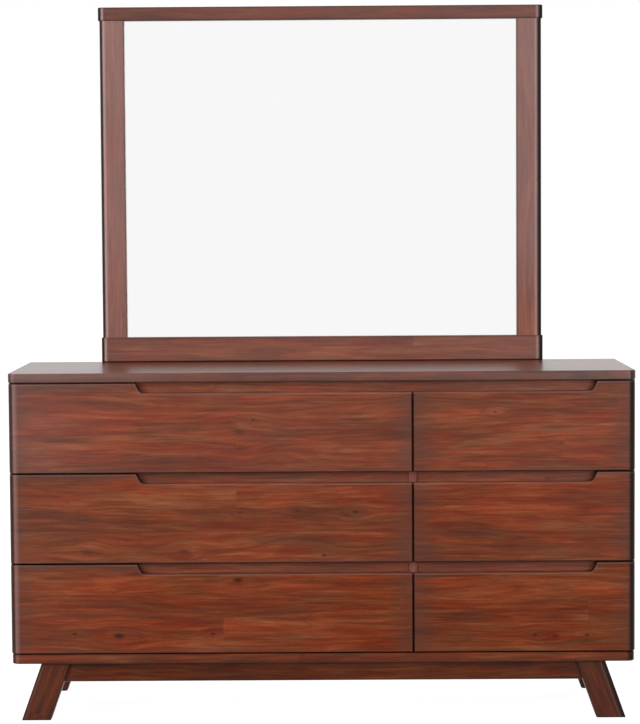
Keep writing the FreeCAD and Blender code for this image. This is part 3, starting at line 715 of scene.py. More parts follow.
    def figure(
        self, graph: Graph, board: Board, along: Socket, across: Socket, deep: Socket,
    ) -> tuple[Socket, Socket, Socket, Socket, Socket]:
        """The wood's own pattern.

        The board's seed moves each random pattern to a place of its own. Its factors only keep the
        patterns from falling together.

        Args:
            graph: the material.
            board: how the board lies.
            along, across, deep: the point in the board's own frame, bent round the knots.

        Returns:
            The tone 0 to 1, how far the hue leans from red to brown, how much of a dark streak there is,
            how pale the fibre is, and the height of the grain for roughness and bump.
        """
        seed = seed_of(board.name)
        row = graph.math("FLOOR", graph.plus(graph.math("DIVIDE", across, self.strip_width), 17.0 * seed))
        shift = graph.chance(graph.join(row, 7.0 * seed, 0.0))[0]
        run = graph.plus(graph.math("DIVIDE", along, self.strip_length), graph.times(shift, self.strip_shift))
        strip = graph.join(row, graph.math("FLOOR", run), 5.0 * seed)
        strip_tone, strip_hue, strip_seed = graph.chance(strip)
        start = graph.plus(along, graph.times(strip_seed, self.strip_jump))

        def wander(layer: Layer) -> Socket:
            """How far the lines stray from straight, in metres."""
            place = graph.join(
                graph.times(start, layer.stretch), graph.times(across, layer.fine), 31.0 * seed,
            )
            return graph.swing(graph.noise(place, layer.detail, layer.roughness), layer.weight)

        slow, quick = (wander(layer) for layer in self.wanders)
        level = graph.plus(across, graph.plus(slow, quick))

        def noise(layer: Layer) -> Socket:
            """A layer of noise, read on the bent lines."""
            place = graph.join(
                graph.times(start, layer.stretch),
                graph.times(level, layer.fine),
                graph.times(deep, layer.fine),
            )
            return graph.noise(place, layer.detail, layer.roughness)

        def peaks(layer: Layer) -> Socket:
            """The peaks of a layer, as streaks."""
            return graph.span(noise(layer), layer.low, layer.high, 0.0, layer.weight)

        layers = (self.broad, self.veins, self.streaks, self.lines, self.pores)
        noises = [noise(layer) for layer in layers]
        broad, _, _, lines, pores = noises
        sway = graph.plus(graph.times(broad, self.ring_sway), graph.times(level, self.ring_count))
        ring = graph.math("FRACT", sway)
        late = graph.math("POWER", ring, self.ring_power)
        ring = graph.times(late, graph.span(ring, self.ring_fall, 1.0, 1.0, 0.0))
        tone: Value = 0.50 + board.tone
        for layer, value in zip(layers, noises):
            tone = graph.plus(tone, graph.swing(value, layer.weight))
        tone = graph.plus(tone, graph.swing(strip_tone, self.strip_weight))
        tone = graph.plus(tone, graph.swing(ring, self.ring_weight, self.ring_middle))
        hue = graph.plus(graph.swing(noise(self.tint), self.tint.weight), self.hue_start)
        hue = graph.math("ADD", hue, graph.times(strip_hue, self.strip_hue), clamp=True)
        streak = graph.times(peaks(self.dark), graph.span(lines, 0.25, 0.65, 0.55, 1.0))
        streak = graph.math("MAXIMUM", streak, peaks(self.thin))
        height = graph.plus(graph.times(lines, 0.6), graph.times(pores, 0.4))
        flecks = graph.times(noise(self.flecks), self.flecks.weight)
        fibre = graph.plus(flecks, graph.times(lines, self.line_fibre))
        fibre = graph.plus(fibre, graph.times(noise(self.hairs), self.hairs.weight))
        return tone, hue, streak, graph.span(fibre, *self.fibre_range), height

    def edge_glaze(self, graph: Graph, board: Board, along: Socket, across: Socket) -> Socket:
        """How much of the grey glaze is left near the board's edges.

        The way in from each edge is divided by that edge's own reach, the least of them is taken, and a
        slow cloud moves it to and fro.

        Args:
            graph: the material.
            board: how the board lies.
            along, across: the point in the board's own frame.

        Returns:
            The amount, 0 to 1.
        """
        low, high = board.low, board.high
        grain, face = board.grain.value, board.face.value
        level = board.grain is Axis.X
        gap: Value = 1.0
        for distance, reach in (
            (graph.minus(along, low[grain]), self.end_reach if level else self.lower_reach),
            (graph.minus(high[grain], along), self.end_reach if level else self.upper_reach),
            (graph.minus(across, low[face]), self.lower_reach),
            (graph.minus(high[face], across), self.upper_reach if level else self.lower_reach),
        ):
            gap = graph.math("MINIMUM", gap, graph.math("DIVIDE", distance, reach))
        cloud = self.edge_cloud
        place = graph.join(
            graph.times(along, cloud.stretch), graph.times(across, cloud.fine), 11.0 * seed_of(board.name),
        )
        worn = graph.plus(gap, graph.swing(graph.noise(place, cloud.detail), cloud.weight))
        return graph.span(worn, 0.0, 1.0, board.edge, 0.0)

    def painted_sheen_share(self, graph: Graph, board: Board, along: Socket) -> Socket:
        """How much painted mauve sheen lies on the board.

        It goes smoothly from its amount at the low end to that in the middle and to that at the high end,
        and stays level over the middle quarter. Behind the front edge only a share of it is left.

        Args:
            graph: the material.
            board: how the board lies.
            along: how far along the board the point is.

        Returns:
            The amount, 0 to 1.
        """
        low, high = board.low[board.grain.value], board.high[board.grain.value]
        middle, plain = (low + high) / 2, (high - low) / 8
        first, second, third = board.veil
        amount = graph.plus(
            graph.span(along, low, middle - plain, first, second),
            graph.span(along, middle + plain, high, 0.0, third - second),
        )
        if board.veil_behind == 1.0:
            return amount
        front, back = (board.low.y + step for step in self.veil_front)
        place = graph.split(graph.place())[Axis.Y.value]
        return graph.times(amount, graph.span(place, front, back, 1.0, board.veil_behind))

    def rim_lines(self, graph: Graph, board: Board, rim: Rim) -> tuple[Socket, Socket]:
        """How strong a rim's line of painted shade is, and its painted highlight line.

        On a leaning board the edge moves sideways with the height, from the corner of the box that it
        starts in. With a reach to the back, both lines fade over its second half.

        Args:
            graph: the material.
            board: how the board lies.
            rim: the rim.

        Returns:
            The two strengths, 0 to 1.
        """
        place = graph.split(graph.place())
        edge: Value = (board.high if rim.side > 0 else board.low)[rim.axis.value]
        if board.lean and rim.axis is Axis.X:
            start = board.low.z if rim.side * board.lean < 0 else board.high.z
            climb = graph.minus(place[Axis.Z.value], start)
            edge = graph.plus(graph.times(climb, math.tan(board.lean)), edge)
        inward = graph.times(graph.minus(edge, place[rim.axis.value]), float(rim.side))
        dark = graph.span(inward, rim.solid, rim.fade, rim.darkness, 0.0)
        pale = graph.times(
            graph.span(inward, 0.6 * rim.fade, rim.fade, 0.0, rim.pale),
            graph.span(inward, rim.fade, rim.fade + rim.pale_width, 1.0, 0.0),
        )
        if not rim.reach_back:
            return dark, pale
        end = board.low.y + rim.reach_back
        near = graph.span(place[Axis.Y.value], end - 0.5 * rim.reach_back, end, 1.0, 0.0)
        return graph.times(dark, near), graph.times(pale, near)

    def notch_lines(self, graph: Graph, notch: Notch) -> tuple[Socket, Socket]:
        """How strong the painted shadow line along the finger notch is, and the painted highlight line below
        its floor.

        The way out of the notch is the greater of the way below its floor and the way past its slope,
        blended where they are alike, so that the line follows the rounded corner between the two. Which
        of them is the greater tells slope from floor.

        Args:
            graph: the material.
            notch: the notch.

        Returns:
            The two strengths, 0 to 1.
        """
        right, _, up = graph.split(graph.place())
        below = graph.minus(notch.floor, up)
        run = abs(notch.foot - notch.head)
        length = math.hypot(run, notch.depth)
        tilt = notch.side * notch.depth / length
        past = graph.plus(
            graph.times(right, tilt), graph.times(graph.minus(up, notch.floor), -run / length),
        )
        past = graph.minus(past, notch.foot * tilt)
        out = graph.math("SMOOTH_MAX", below, past, notch.rounding)
        on_slope = graph.span(graph.minus(past, below), *notch.turn)
        strength = graph.span(on_slope, 0.0, 1.0, notch.floor_darkness, notch.slope_darkness, "LINEAR")
        dark = graph.times(strength, graph.span(out, notch.solid, notch.fade, 1.0, 0.0))
        start, full, fading, end = notch.painted_highlight_band
        band = graph.times(graph.span(out, start, full), graph.span(out, fading, end, 1.0, 0.0))
        return dark, graph.times(band, graph.span(on_slope, 0.0, 1.0, notch.pale, 0.5 * notch.pale))


@dataclass(frozen=True)
class PlainWood:
    """Pale hardwood under a thin clear coat, for the parts that stay inside.

    Attributes:
        shade, light: its darkest and its palest colour.
        roughness: how matt the coat is.
        swells: how many swells of its figure a metre has along the grain and across it.
    """

    shade: Colour = display(170, 128, 88)
    light: Colour = display(214, 178, 134)
    roughness: float = 0.5
    swells: tuple[float, float] = (5.0, 110.0)

    def material(self, name: str, grain: Axis) -> bpy.types.Material:
        """Straight-grained wood: long noise along the grain, with fine lines over it.

        Args:
            name: the piece that it is for.
            grain: the axis that the grain runs along.

        Returns:
            The finished material.
        """
        graph = Graph.of_material(f"plain_wood_{name}")
        along, across = self.swells
        stretch = [along if axis is grain else across for axis in Axis]
        place = graph.vector("ADD", graph.place(), (seed_of(name), 3 * seed_of(name), 0.0))
        slow = graph.scaled_noise(place, tuple(0.2 * part for part in stretch))
        veins = graph.scaled_noise(place, tuple(stretch), 4.0, 0.6)
        lines = graph.scaled_noise(place, tuple(5 * part for part in stretch))
        tone = graph.plus(graph.times(veins, 0.6), graph.times(slow, 0.4))
        tone = graph.plus(tone, graph.swing(lines, 0.5))
        graph.principled(
            Base_Color=graph.ramp(tone, ((0.30, self.shade), (0.68, self.light))),
            Roughness=graph.span(lines, 0.3, 0.7, self.roughness + 0.08, self.roughness - 0.08),
            Specular_IOR_Level=0.35,
            Normal=graph.bump(lines, 0.0002),
        )
        return graph.holder


@dataclass(frozen=True)
class Fibreboard:
    """Thin pressed board: short matted fibres, a little darker in blotches."""

    shade: Colour = display(92, 60, 42)
    light: Colour = display(128, 88, 62)

    def material(self, name: str) -> bpy.types.Material:
        """Short fibres in all directions over flakes and slow blotches.

        Args:
            name: the piece that it is for.

        Returns:
            The finished material.
        """
        graph = Graph.of_material(f"fibreboard_{name}")
        place = graph.place()
        fibres = graph.scaled_noise(place, (700.0, 700.0, 700.0), 4.0, 0.7)
        flakes = graph.scaled_noise(place, (130.0, 130.0, 210.0), 3.0, 0.7)
        blotches = graph.scaled_noise(place, (9.0, 9.0, 14.0), 3.0)
        tone = graph.plus(graph.times(fibres, 0.45), graph.times(flakes, 0.42))
        tone = graph.plus(tone, graph.times(blotches, 0.13))
        graph.principled(
            Base_Color=graph.ramp(tone, ((0.34, self.shade), (0.64, self.light))),
            Roughness=graph.span(fibres, 0.3, 0.7, 0.72, 0.58),
            Specular_IOR_Level=0.3,
            Normal=graph.bump(fibres, 0.0003),
        )
        return graph.holder


@dataclass(frozen=True)
class BrightSteel:
    """Zinc-plated strip: drawn lines along the slide and a faint cloud in the plating."""

    light: Colour = display(205, 207, 210)
    shade: Colour = display(168, 172, 178)

    def material(self, name: str) -> bpy.types.Material:
        """Fine lines along Y over a slow cloud.

        Args:
            name: the piece that it is for.

        Returns:
            The finished material.
        """
        graph = Graph.of_material(f"bright_steel_{name}")
        place = graph.place()
        lines = graph.scaled_noise(place, (1500.0, 12.0, 1500.0), 3.0, 0.6)
        cloud = graph.scaled_noise(place, (40.0, 18.0, 40.0), 3.0)
        tone = graph.plus(graph.times(lines, 0.5), graph.times(cloud, 0.5))
        graph.principled(
            Base_Color=graph.ramp(tone, ((0.35, self.shade), (0.65, self.light))),
            Metallic=1.0,
            Roughness=graph.span(tone, 0.3, 0.7, 0.34, 0.24),
            Normal=graph.bump(lines, 0.00005),
        )
        return graph.holder


@dataclass(frozen=True)
class Felt:
    """Pressed felt: a mat of short hairs with a soft sheen."""

    shade: Colour = display(72, 52, 42)
    light: Colour = display(104, 80, 66)

    def material(self, name: str) -> bpy.types.Material:
        """Fine matted noise, high and rough.

        Args:
            name: the piece that it is for.

        Returns:
            The finished material.
        """
        graph = Graph.of_material(f"felt_{name}")
        hairs = graph.scaled_noise(graph.place(), (1400.0, 1400.0, 1400.0), 5.0, 0.75)
        graph.principled(
            Base_Color=graph.ramp(hairs, ((0.35, self.shade), (0.65, self.light))),
            Roughness=graph.span(hairs, 0.3, 0.7, 0.98, 0.88),
            Sheen_Weight=0.4,
            Sheen_Roughness=0.5,
            Specular_IOR_Level=0.2,
            Normal=graph.bump(hairs, 0.0006),
        )
        return graph.holder


@dataclass(frozen=True)
class SilveredGlass:
    """Mirror glass: a sharp reflection, a little short of white, with a green tinge in the cut edges."""

    silver: Colour = (0.93, 0.93, 0.93)
    cut_edge: Colour = display(96, 132, 118)

    def material(self) -> bpy.types.Material:
        """Silver on the wide faces, ground green glass on the edges, told apart by the normal's Y part.

        Returns:
            The finished material.
        """
        graph = Graph.of_material("silvered_glass")
        normal = graph.node("ShaderNodeNewGeometry").outputs["Normal"]
        wide = graph.span(graph.math("ABSOLUTE", graph.split(normal)[Axis.Y.value]), 0.4, 0.6)
        ground = graph.scaled_noise(graph.place(), (900.0, 900.0, 900.0), 3.0)
        graph.principled(
            Base_Color=graph.mix(wide, self.cut_edge, self.silver),
            Metallic=wide,
            Roughness=graph.times(graph.minus(1.0, wide), ground),
        )
        return graph.holder


def dress(name: str, material: bpy.types.Material) -> None:
    """Gives a CAD node its finish and reports it.

    Args:
        name: the node.
        material: its finish.
    """
    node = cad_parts[name]
    for slot in node.material_slots:
        slot.material = material
    LOG.info("finish %s on %s", material.name, name)


def dress_board(name: str, wood: StainedWood, grain: Axis, **marks: object) -> None:
    """Gives a CAD node its finish as a board of stained wood."""
    dress(name, wood.material(Board.of(name, grain, **marks)))


@dataclass
class Carcass:
    """The case: slabs, sides, partition, back and the rails between the drawers.

    The top is polished to a higher gloss than the rest.

    Attributes:
        wood, polished, inner, board: the finishes of the case, the top, the rear rail and the back.
        corner: how far back the painted shade on the slabs' rounded corners reaches, in metres.
    """

    wood: StainedWood = field(default_factory=StainedWood)
    polished: StainedWood = field(
        default_factory=lambda: StainedWood(roughness=0.34, gloss=0.20, coat=0.52, coat_roughness=0.24),
    )
    inner: PlainWood = field(default_factory=PlainWood)
    board: Fibreboard = field(default_factory=Fibreboard)
    corner: float = 0.042

    def build(self) -> None:
        """Dresses the nodes of the case."""
        # Painted shade: a near-black line on the slabs' unlit right end, a thinner one with a painted
        # highlight on the left end, and darkening towards the lower edge as shade from light above.
        rims = (
            Rim(Axis.X, -1, 0.003, 0.012, 0.8, 0.2, 0.008, self.corner),
            Rim(Axis.X, 1, 0.010, 0.021, reach_back=self.corner),
            Rim(Axis.Z, -1, 0.0, 0.015, 0.35),
        )
        # Painted sheen on the slabs, rails and partition stands in for reflected light; behind the top's
        # front edge only a tenth of it is left.
        for name, wood, tone, veil, behind in (
            ("top_panel", self.polished, -0.25, (0.34, 0.09, 0.0), 0.10),
            ("bottom_panel", self.wood, -0.12, (0.06, 0.02, 0.02), 1.0),
        ):
            dress_board(name, wood, Axis.X, rims=rims, tone=tone, veil=veil, veil_behind=behind, edge=0.1)
        dress_board("top_rail", self.wood, Axis.X, tone=0.10, veil=(0.14, 0.12, 0.16), edge=0.0)
        dress_board("drawer_rails", self.wood, Axis.X, veil=(0.12, 0.12, 0.12), edge=0.0)
        dress_board("side_panel_left", self.wood, Axis.Z)
        dress_board("side_panel_right", self.wood, Axis.Z)
        dress_board("partition", self.wood, Axis.Z, tone=0.12, veil=(0.2, 0.2, 0.2), edge=0.2)
        dress("back_panel", self.board.material("back_panel"))
        dress("rear_rail", self.inner.material("rear_rail", Axis.X))


@dataclass
class Base:
    """The base: splayed legs, aprons, cross brace and glue blocks.

    Attributes:
        wood, inner: the finishes of what shows and of what stays inside.
        leg_width: how wide a leg is, in metres.
    """

    wood: StainedWood = field(default_factory=StainedWood)
    inner: PlainWood = field(default_factory=PlainWood)
    leg_width: float = 0.070

    def build(self) -> None:
        """Dresses the nodes of the base."""
        for end in ("front", "rear"):
            self.dress_leg(f"leg_{end}_left", -1)
            self.dress_leg(f"leg_{end}_right", 1)
            dress_board(f"apron_{end}", self.wood, Axis.X, tone=-0.30, edge=0.2)
        dress_board("apron_left", self.wood, Axis.Y, tone=-0.20)
        dress_board("apron_right", self.wood, Axis.Y, tone=-0.20)
        dress("cross_brace", self.inner.material("cross_brace", Axis.Y))
        dress("corner_blocks", self.inner.material("corner_blocks", Axis.Z))

    def dress_leg(self, name: str, turn: int) -> None:
        """Dresses a leg, with its grain along the splay.

        Args:
            name: the leg.
            turn: -1 where the foot stands out to the left and 1 where it stands out to the right.
        """
        low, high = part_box(name)
        lean = -turn * math.atan2((high.x - low.x) - self.leg_width, high.z - low.z)
        # Painted shade: the right leg is toned darker and has a wide near-black outer rim because the light
        # comes from the left; the left leg has a thin dark line with a painted highlight. The inner edge and
        # foot get painted shade, and the head a painted shadow under the bottom slab.
        if turn < 0:
            tone, veil = -0.30, 0.01
            outer = Rim(Axis.X, -1, 0.001, 0.0055, 0.75, 0.08, 0.006)
        else:
            tone, veil = -0.38, 0.0
            outer = Rim(Axis.X, 1, 0.006, 0.013, 0.92, 0.06, 0.005)
        rims = (
            outer,
            Rim(Axis.X, -turn, 0.0, 0.004, 0.45),
            Rim(Axis.Z, -1, 0.0, 0.005, 0.6),
            Rim(Axis.Z, 1, 0.0, 0.007, 0.5),
        )
        dress_board(name, self.wood, Axis.Z, lean=lean, rims=rims, tone=tone, veil=(veil,) * 3, edge=0.25)


# The knots of each front, where the plainest ones lie on the real boards.
KNOTS: dict[tuple[Row, Bank], tuple[Knot, ...]] = {
    (Row.UPPER, Bank.WIDE): (
        Knot(-0.164, 0.726, 0.004), Knot(-0.198, 0.698, 0.011, 0.45), Knot(-0.196, 0.662, 0.009, 0.25),
    ),
    (Row.MIDDLE, Bank.WIDE): (
        Knot(0.079, 0.504, 0.005), Knot(-0.060, 0.507, 0.005, 0.5), Knot(-0.197, 0.503, 0.004, 0.5),
        Knot(0.004, 0.400, 0.005), Knot(-0.567, 0.409, 0.010, 0.4), Knot(-0.332, 0.410, 0.009, 0.4),
    ),
    (Row.LOWER, Bank.WIDE): (
        Knot(-0.490, 0.207, 0.009, 0.85), Knot(-0.596, 0.213, 0.004), Knot(-0.264, 0.211, 0.004),
        Knot(-0.203, 0.341, 0.008, 0.85),
    ),
    (Row.LOWER, Bank.NARROW): (
        Knot(0.509, 0.204, 0.004), Knot(0.557, 0.202, 0.006, 0.5), Knot(0.634, 0.204, 0.004),
    ),
    (Row.UPPER, Bank.NARROW): (Knot(0.574, 0.667, 0.005, 0.5), Knot(0.414, 0.742, 0.004, 0.6)),
}


# How much painted mauve sheen, a painted reflection of the room's light, lies on each front, at its left end,
# in its middle and at its right end; the upper rows get more.
PAINTED_SHEENS: dict[tuple[Row, Bank], tuple[float, float, float]] = {
    (Row.UPPER, Bank.WIDE): (0.20, 0.09, 0.07),
    (Row.UPPER, Bank.NARROW): (0.05, 0.05, 0.05),
    (Row.MIDDLE, Bank.WIDE): (0.08, 0.04, 0.03),
    (Row.MIDDLE, Bank.NARROW): (0.02, 0.02, 0.02),
    (Row.LOWER, Bank.WIDE): (0.06, 0.02, 0.0),
    (Row.LOWER, Bank.NARROW): (0.0, 0.0, 0.0),
}


@dataclass
class Drawer:
    """One drawer with its front, box, bottom and slides.

    Attributes:
        row, bank: which drawer it is.
        wood, inner, sheet, steel: the finishes of its front, box, bottom and slides.
        notch_depth: how far its notch goes down from the upper edge, in metres.
        wide_head, narrow_head: where the slope of a wide and of a narrow front's notch starts, along X.
        slope: how far the slope runs to the side.
        lower_tone: how much darker the lower row is.
        rim_reach, end_reach: how far back the painted shade goes on the thin edges and on the rounded end.
    """

    row: Row
    bank: Bank
    wood: StainedWood = field(default_factory=StainedWood)
    inner: PlainWood = field(default_factory=PlainWood)
    sheet: PlainWood = field(
        default_factory=lambda: PlainWood(display(188, 150, 106), display(220, 188, 146), 0.42),
    )
    steel: BrightSteel = field(default_factory=BrightSteel)
    notch_depth: float = 0.023
    wide_head: float = -0.4435
    narrow_head: float = 0.657
    slope: float = 0.011
    lower_tone: float = -0.05
    rim_reach: float = 0.010
    end_reach: float = 0.021

    @property
    def name(self) -> str:
        """The start of the names of its pieces."""
        return f"{self.row.value}_{self.bank.value}"

    def build(self) -> None:
        """Dresses the nodes of the drawer."""
        self.dress_front()
        box, bottom = f"{self.name}_drawer_box", f"{self.name}_drawer_bottom"
        dress(box, self.inner.material(box, Axis.X))
        dress(bottom, self.sheet.material(bottom, Axis.X))
        for part in ("slide_inner", "slide_middle"):
            name = f"{self.name}_{part}"
            dress(name, self.steel.material(name))

    def dress_front(self) -> None:
        """Dresses the front: a wide rim of painted shade at its rounded end, thin lines of painted shade in
        the gaps round its other edges.
        """
        name = f"{self.name}_drawer_front"
        # The rounded outer end: near-black painted shade on the unlit right end of a narrow front, and a
        # thinner dark line with a painted highlight on the left end of a wide one.
        if self.bank is Bank.WIDE:
            side, head = -1, self.wide_head
            outer = Rim(Axis.X, side, 0.0065, 0.0130, 0.75, 0.27, 0.012, self.end_reach)
        else:
            side, head = 1, self.narrow_head
            outer = Rim(Axis.X, side, 0.008, 0.020, 1.0, reach_back=self.end_reach)
        # Painted shade: dark lines in the gaps at the inner end and the lower edge, and a thin one along the
        # upper edge with a painted highlight beside it.
        rims = (
            outer,
            Rim(Axis.X, -side, 0.0, 0.0028, 0.85, reach_back=self.rim_reach),
            Rim(Axis.Z, -1, 0.0, 0.0028, 0.88, reach_back=self.rim_reach),
            Rim(Axis.Z, 1, 0.0, 0.0014, 0.55, 0.12, 0.004),
        )
        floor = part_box(name)[1].z - self.notch_depth
        dress_board(
            name, self.wood, Axis.X, rims=rims,
            knots=KNOTS.get((self.row, self.bank), ()),
            tone=self.lower_tone if self.row is Row.LOWER else 0.0,
            veil=PAINTED_SHEENS[self.row, self.bank],
            notch=Notch(side, floor, head, head - side * self.slope, self.notch_depth),
        )


@dataclass
class Mirror:
    """The framed mirror with its backing and the battens that carry it.

    Attributes:
        wood, inner, board, glass: the finishes of its frame, its battens, its backing and its pane.
        rim_reach: how far back the painted shade and highlight on the frame's ends go, in metres.
    """

    wood: StainedWood = field(default_factory=StainedWood)
    inner: PlainWood = field(default_factory=PlainWood)
    board: Fibreboard = field(default_factory=Fibreboard)
    glass: SilveredGlass = field(default_factory=SilveredGlass)
    rim_reach: float = 0.012

    def build(self) -> None:
        """Dresses the nodes of the mirror."""
        # Painted shade and painted highlights: dark outer edges with pale highlight lines beside them, darker
        # on the unlit right, a painted contact shadow along the bottom rail's lower edge and painted shade
        # along the rails' other edges.
        left = Rim(Axis.X, -1, 0.005, 0.010, 0.88, 0.75, 0.007, self.rim_reach)
        right = Rim(Axis.X, 1, 0.008, 0.014, 0.96, 0.45, 0.006, self.rim_reach)
        ends = (left, right)
        low = (*ends, Rim(Axis.Z, -1, 0.001, 0.005, 0.95), Rim(Axis.Z, 1, 0.0, 0.008, 0.35))
        high = (*ends, Rim(Axis.Z, -1, 0.0, 0.007, 0.4), Rim(Axis.Z, 1, 0.001, 0.004, 0.5))
        dress_board(
            "mirror_bottom_rail", self.wood, Axis.X, rims=low, veil=(0.25, 0.22, 0.28), edge=0.25,
        )
        dress_board(
            "mirror_top_rail", self.wood, Axis.X, rims=high, tone=-0.08, veil=(0.20, 0.24, 0.26), edge=0.2,
        )
        # The stiles are toned lighter and get a strong painted sheen, which stands in for the light that
        # their upright grain catches; their inner edges get a line of painted shade next to the glass.
        for side, outer, inner, tone, veil in (
            ("left", left, 1, 0.16, (0.38, 0.54, 0.64)), ("right", right, -1, 0.22, (0.26, 0.52, 0.62)),
        ):
            rims = (outer, Rim(Axis.X, inner, 0.0, 0.006, 0.35))
            dress_board(
                f"mirror_stile_{side}", self.wood, Axis.Z, rims=rims, tone=tone, veil=veil,
                veil_behind=0.5, edge=0.15,
            )
        for name in ("mirror_support_left", "mirror_support_right"):
            dress(name, self.inner.material(name, Axis.Z))
        dress("frame_tenons", self.inner.material("frame_tenons", Axis.X))
        dress("mirror_glass", self.glass.material())
        dress("mirror_backing", self.board.material("mirror_backing"))


@dataclass(frozen=True)
class Head:
    """The size of a screw's or a pin's head, in metres, and whether it has a cross recess."""

    radius: float
    rise: float
    crossed: bool = True


@dataclass
class Fasteners:
    """The screws and pins that hold the back, the fronts, the base and the mirror's backing.

    Attributes:
        steel: their finish.
        panel_head, pin_head, block_head, front_head: their sizes.
        panel_face, backing_face: how far back the boards' outer faces lie.
        block_edge, block_fronts, block_face: where the glue blocks' corners are, and how long their legs.
        box_wall: how thick a drawer's inner front is.
        turns, rings: how many steps a head has round it and from its middle to its rim.
        dome: the power that rounds a head.
        recess: how deep the cross is, as a share of the head's rise.
        arm, arm_wall: half the width of its arms and the width of their sloped walls, in radii.
        arm_reach, arm_end: how far its arms reach and how long their sloped ends are, in radii.
        sunk: how deep a head's flat foot stands in the board, as a share of its rise.
        box_inset, box_low, box_high: how far in the front screws are from the ends, the lower edge and
            the upper edge of a box.
    """

    steel: BrightSteel = field(
        default_factory=lambda: BrightSteel(display(214, 194, 138), display(182, 158, 100)),
    )
    panel_head: Head = Head(0.0036, 0.0017)
    pin_head: Head = Head(0.0016, 0.0008, False)
    block_head: Head = Head(0.0042, 0.0019)
    front_head: Head = Head(0.0042, 0.0020)
    panel_face: float = 0.216
    backing_face: float = 0.214
    block_edge: float = 0.643
    block_fronts: tuple[float, float] = (-0.172, 0.146)
    block_face: float = 0.055
    box_wall: float = 0.012
    turns: int = 32
    rings: int = 7
    dome: float = 2.6
    recess: float = 0.62
    arm: float = 0.16
    arm_wall: float = 0.06
    arm_reach: float = 0.66
    arm_end: float = 0.10
    sunk: float = 0.4
    box_inset: float = 0.09
    box_low: float = 0.045
    box_high: float = 0.035

    def build(self) -> None:
        """Builds every set of screws and pins.

        The back's screws stand along its ends, the partition and its upper edge, the pins along the four
        edges of the mirror's backing, and each glue block has two, one above the other.
        """
        back = np.array([0.0, 1.0, 0.0])
        panel = [(x, z) for x in (-0.735, 0.2175, 0.735) for z in np.linspace(0.20, 0.78, 5)]
        panel += [(x, 0.795) for x in (-0.66, -0.40, -0.20, 0.0, 0.35, 0.45, 0.66)]
        pins = [(x, z) for x in (-0.4995, 0.4995) for z in np.linspace(0.93, 1.68, 7)]
        pins += [(x, z) for z in (0.9015, 1.7095) for x in np.linspace(-0.42, 0.42, 7)]
        for name, spots, face, head in (
            ("back_panel_screws", panel, self.panel_face, self.panel_head),
            ("backing_pins", pins, self.backing_face, self.pin_head),
        ):
            self.set_of(name, "case", np.array([(x, face, z) for x, z in spots]), back, head)
        for side, x_side in (("left", -1), ("right", 1)):
            for end, y, y_side in zip(("front", "rear"), self.block_fronts, (-1, 1)):
                inward = np.array([-x_side, -y_side, 0.0]) / math.sqrt(2)
                face = (x_side * self.block_edge, y, 0.0) + inward * self.block_face / math.sqrt(2)
                places = np.array([face + (0.0, 0.0, z) for z in (0.112, 0.130)])
                self.set_of(f"block_screws_{side}_{end}", "case", places, inward, self.block_head)
        for row in Row:
            for bank in Bank:
                self.front_screws(f"{row.value}_{bank.value}", 3 if bank is Bank.WIDE else 2)

    def front_screws(self, drawer: str, columns: int) -> None:
        """The screws that hold a drawer's front, seen inside its box.

        Args:
            drawer: the start of the names of its pieces.
            columns: how many pairs of screws it has.
        """
        low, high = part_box(f"{drawer}_drawer_box")
        across = np.linspace(low.x + self.box_inset, high.x - self.box_inset, columns)
        heights = (low.z + self.box_low, high.z - self.box_high)
        places = [(x, low.y + self.box_wall, z) for x in across for z in heights]
        back = np.array([0.0, 1.0, 0.0])
        self.set_of(f"{drawer}_front_screws", f"{drawer}_drawer", np.array(places), back, self.front_head)

    def head(self, kind: Head) -> tuple[np.ndarray, np.ndarray]:
        """One domed head as offsets across and out of its board.

        With r the way from the middle and a the angle, the dome is rise x (1 - (r / radius) to the power
        of dome). The cross lowers it by its depth where r x |sin 2a| / 2, which near an arm is the way to
        its middle line, is under the arm's half width and r is under its reach.

        Args:
            kind: the size of the head.

        Returns:
            The points on a grid of ring and angle, as (across, across, out), and the pole at the end.
        """
        radius, rise = kind.radius, kind.rise
        recess = self.recess * rise if kind.crossed else 0.0
        rings = np.linspace(1.0 / self.rings, 1.0, self.rings)[:, None] * radius
        angles = np.linspace(0, 2 * np.pi, self.turns, endpoint=False)[None, :]
        arm = np.abs(rings * np.sin(2 * angles) / 2)
        across = np.clip((self.arm * radius - arm) / (self.arm_wall * radius), 0, 1)
        along = np.clip((self.arm_reach * radius - rings) / (self.arm_end * radius), 0, 1)
        dome = rise * (1 - (rings / radius) ** self.dome) - recess * across * along
        points = np.stack([rings * np.cos(angles), rings * np.sin(angles), dome], axis=-1)
        return points, np.array([0.0, 0.0, rise - recess])

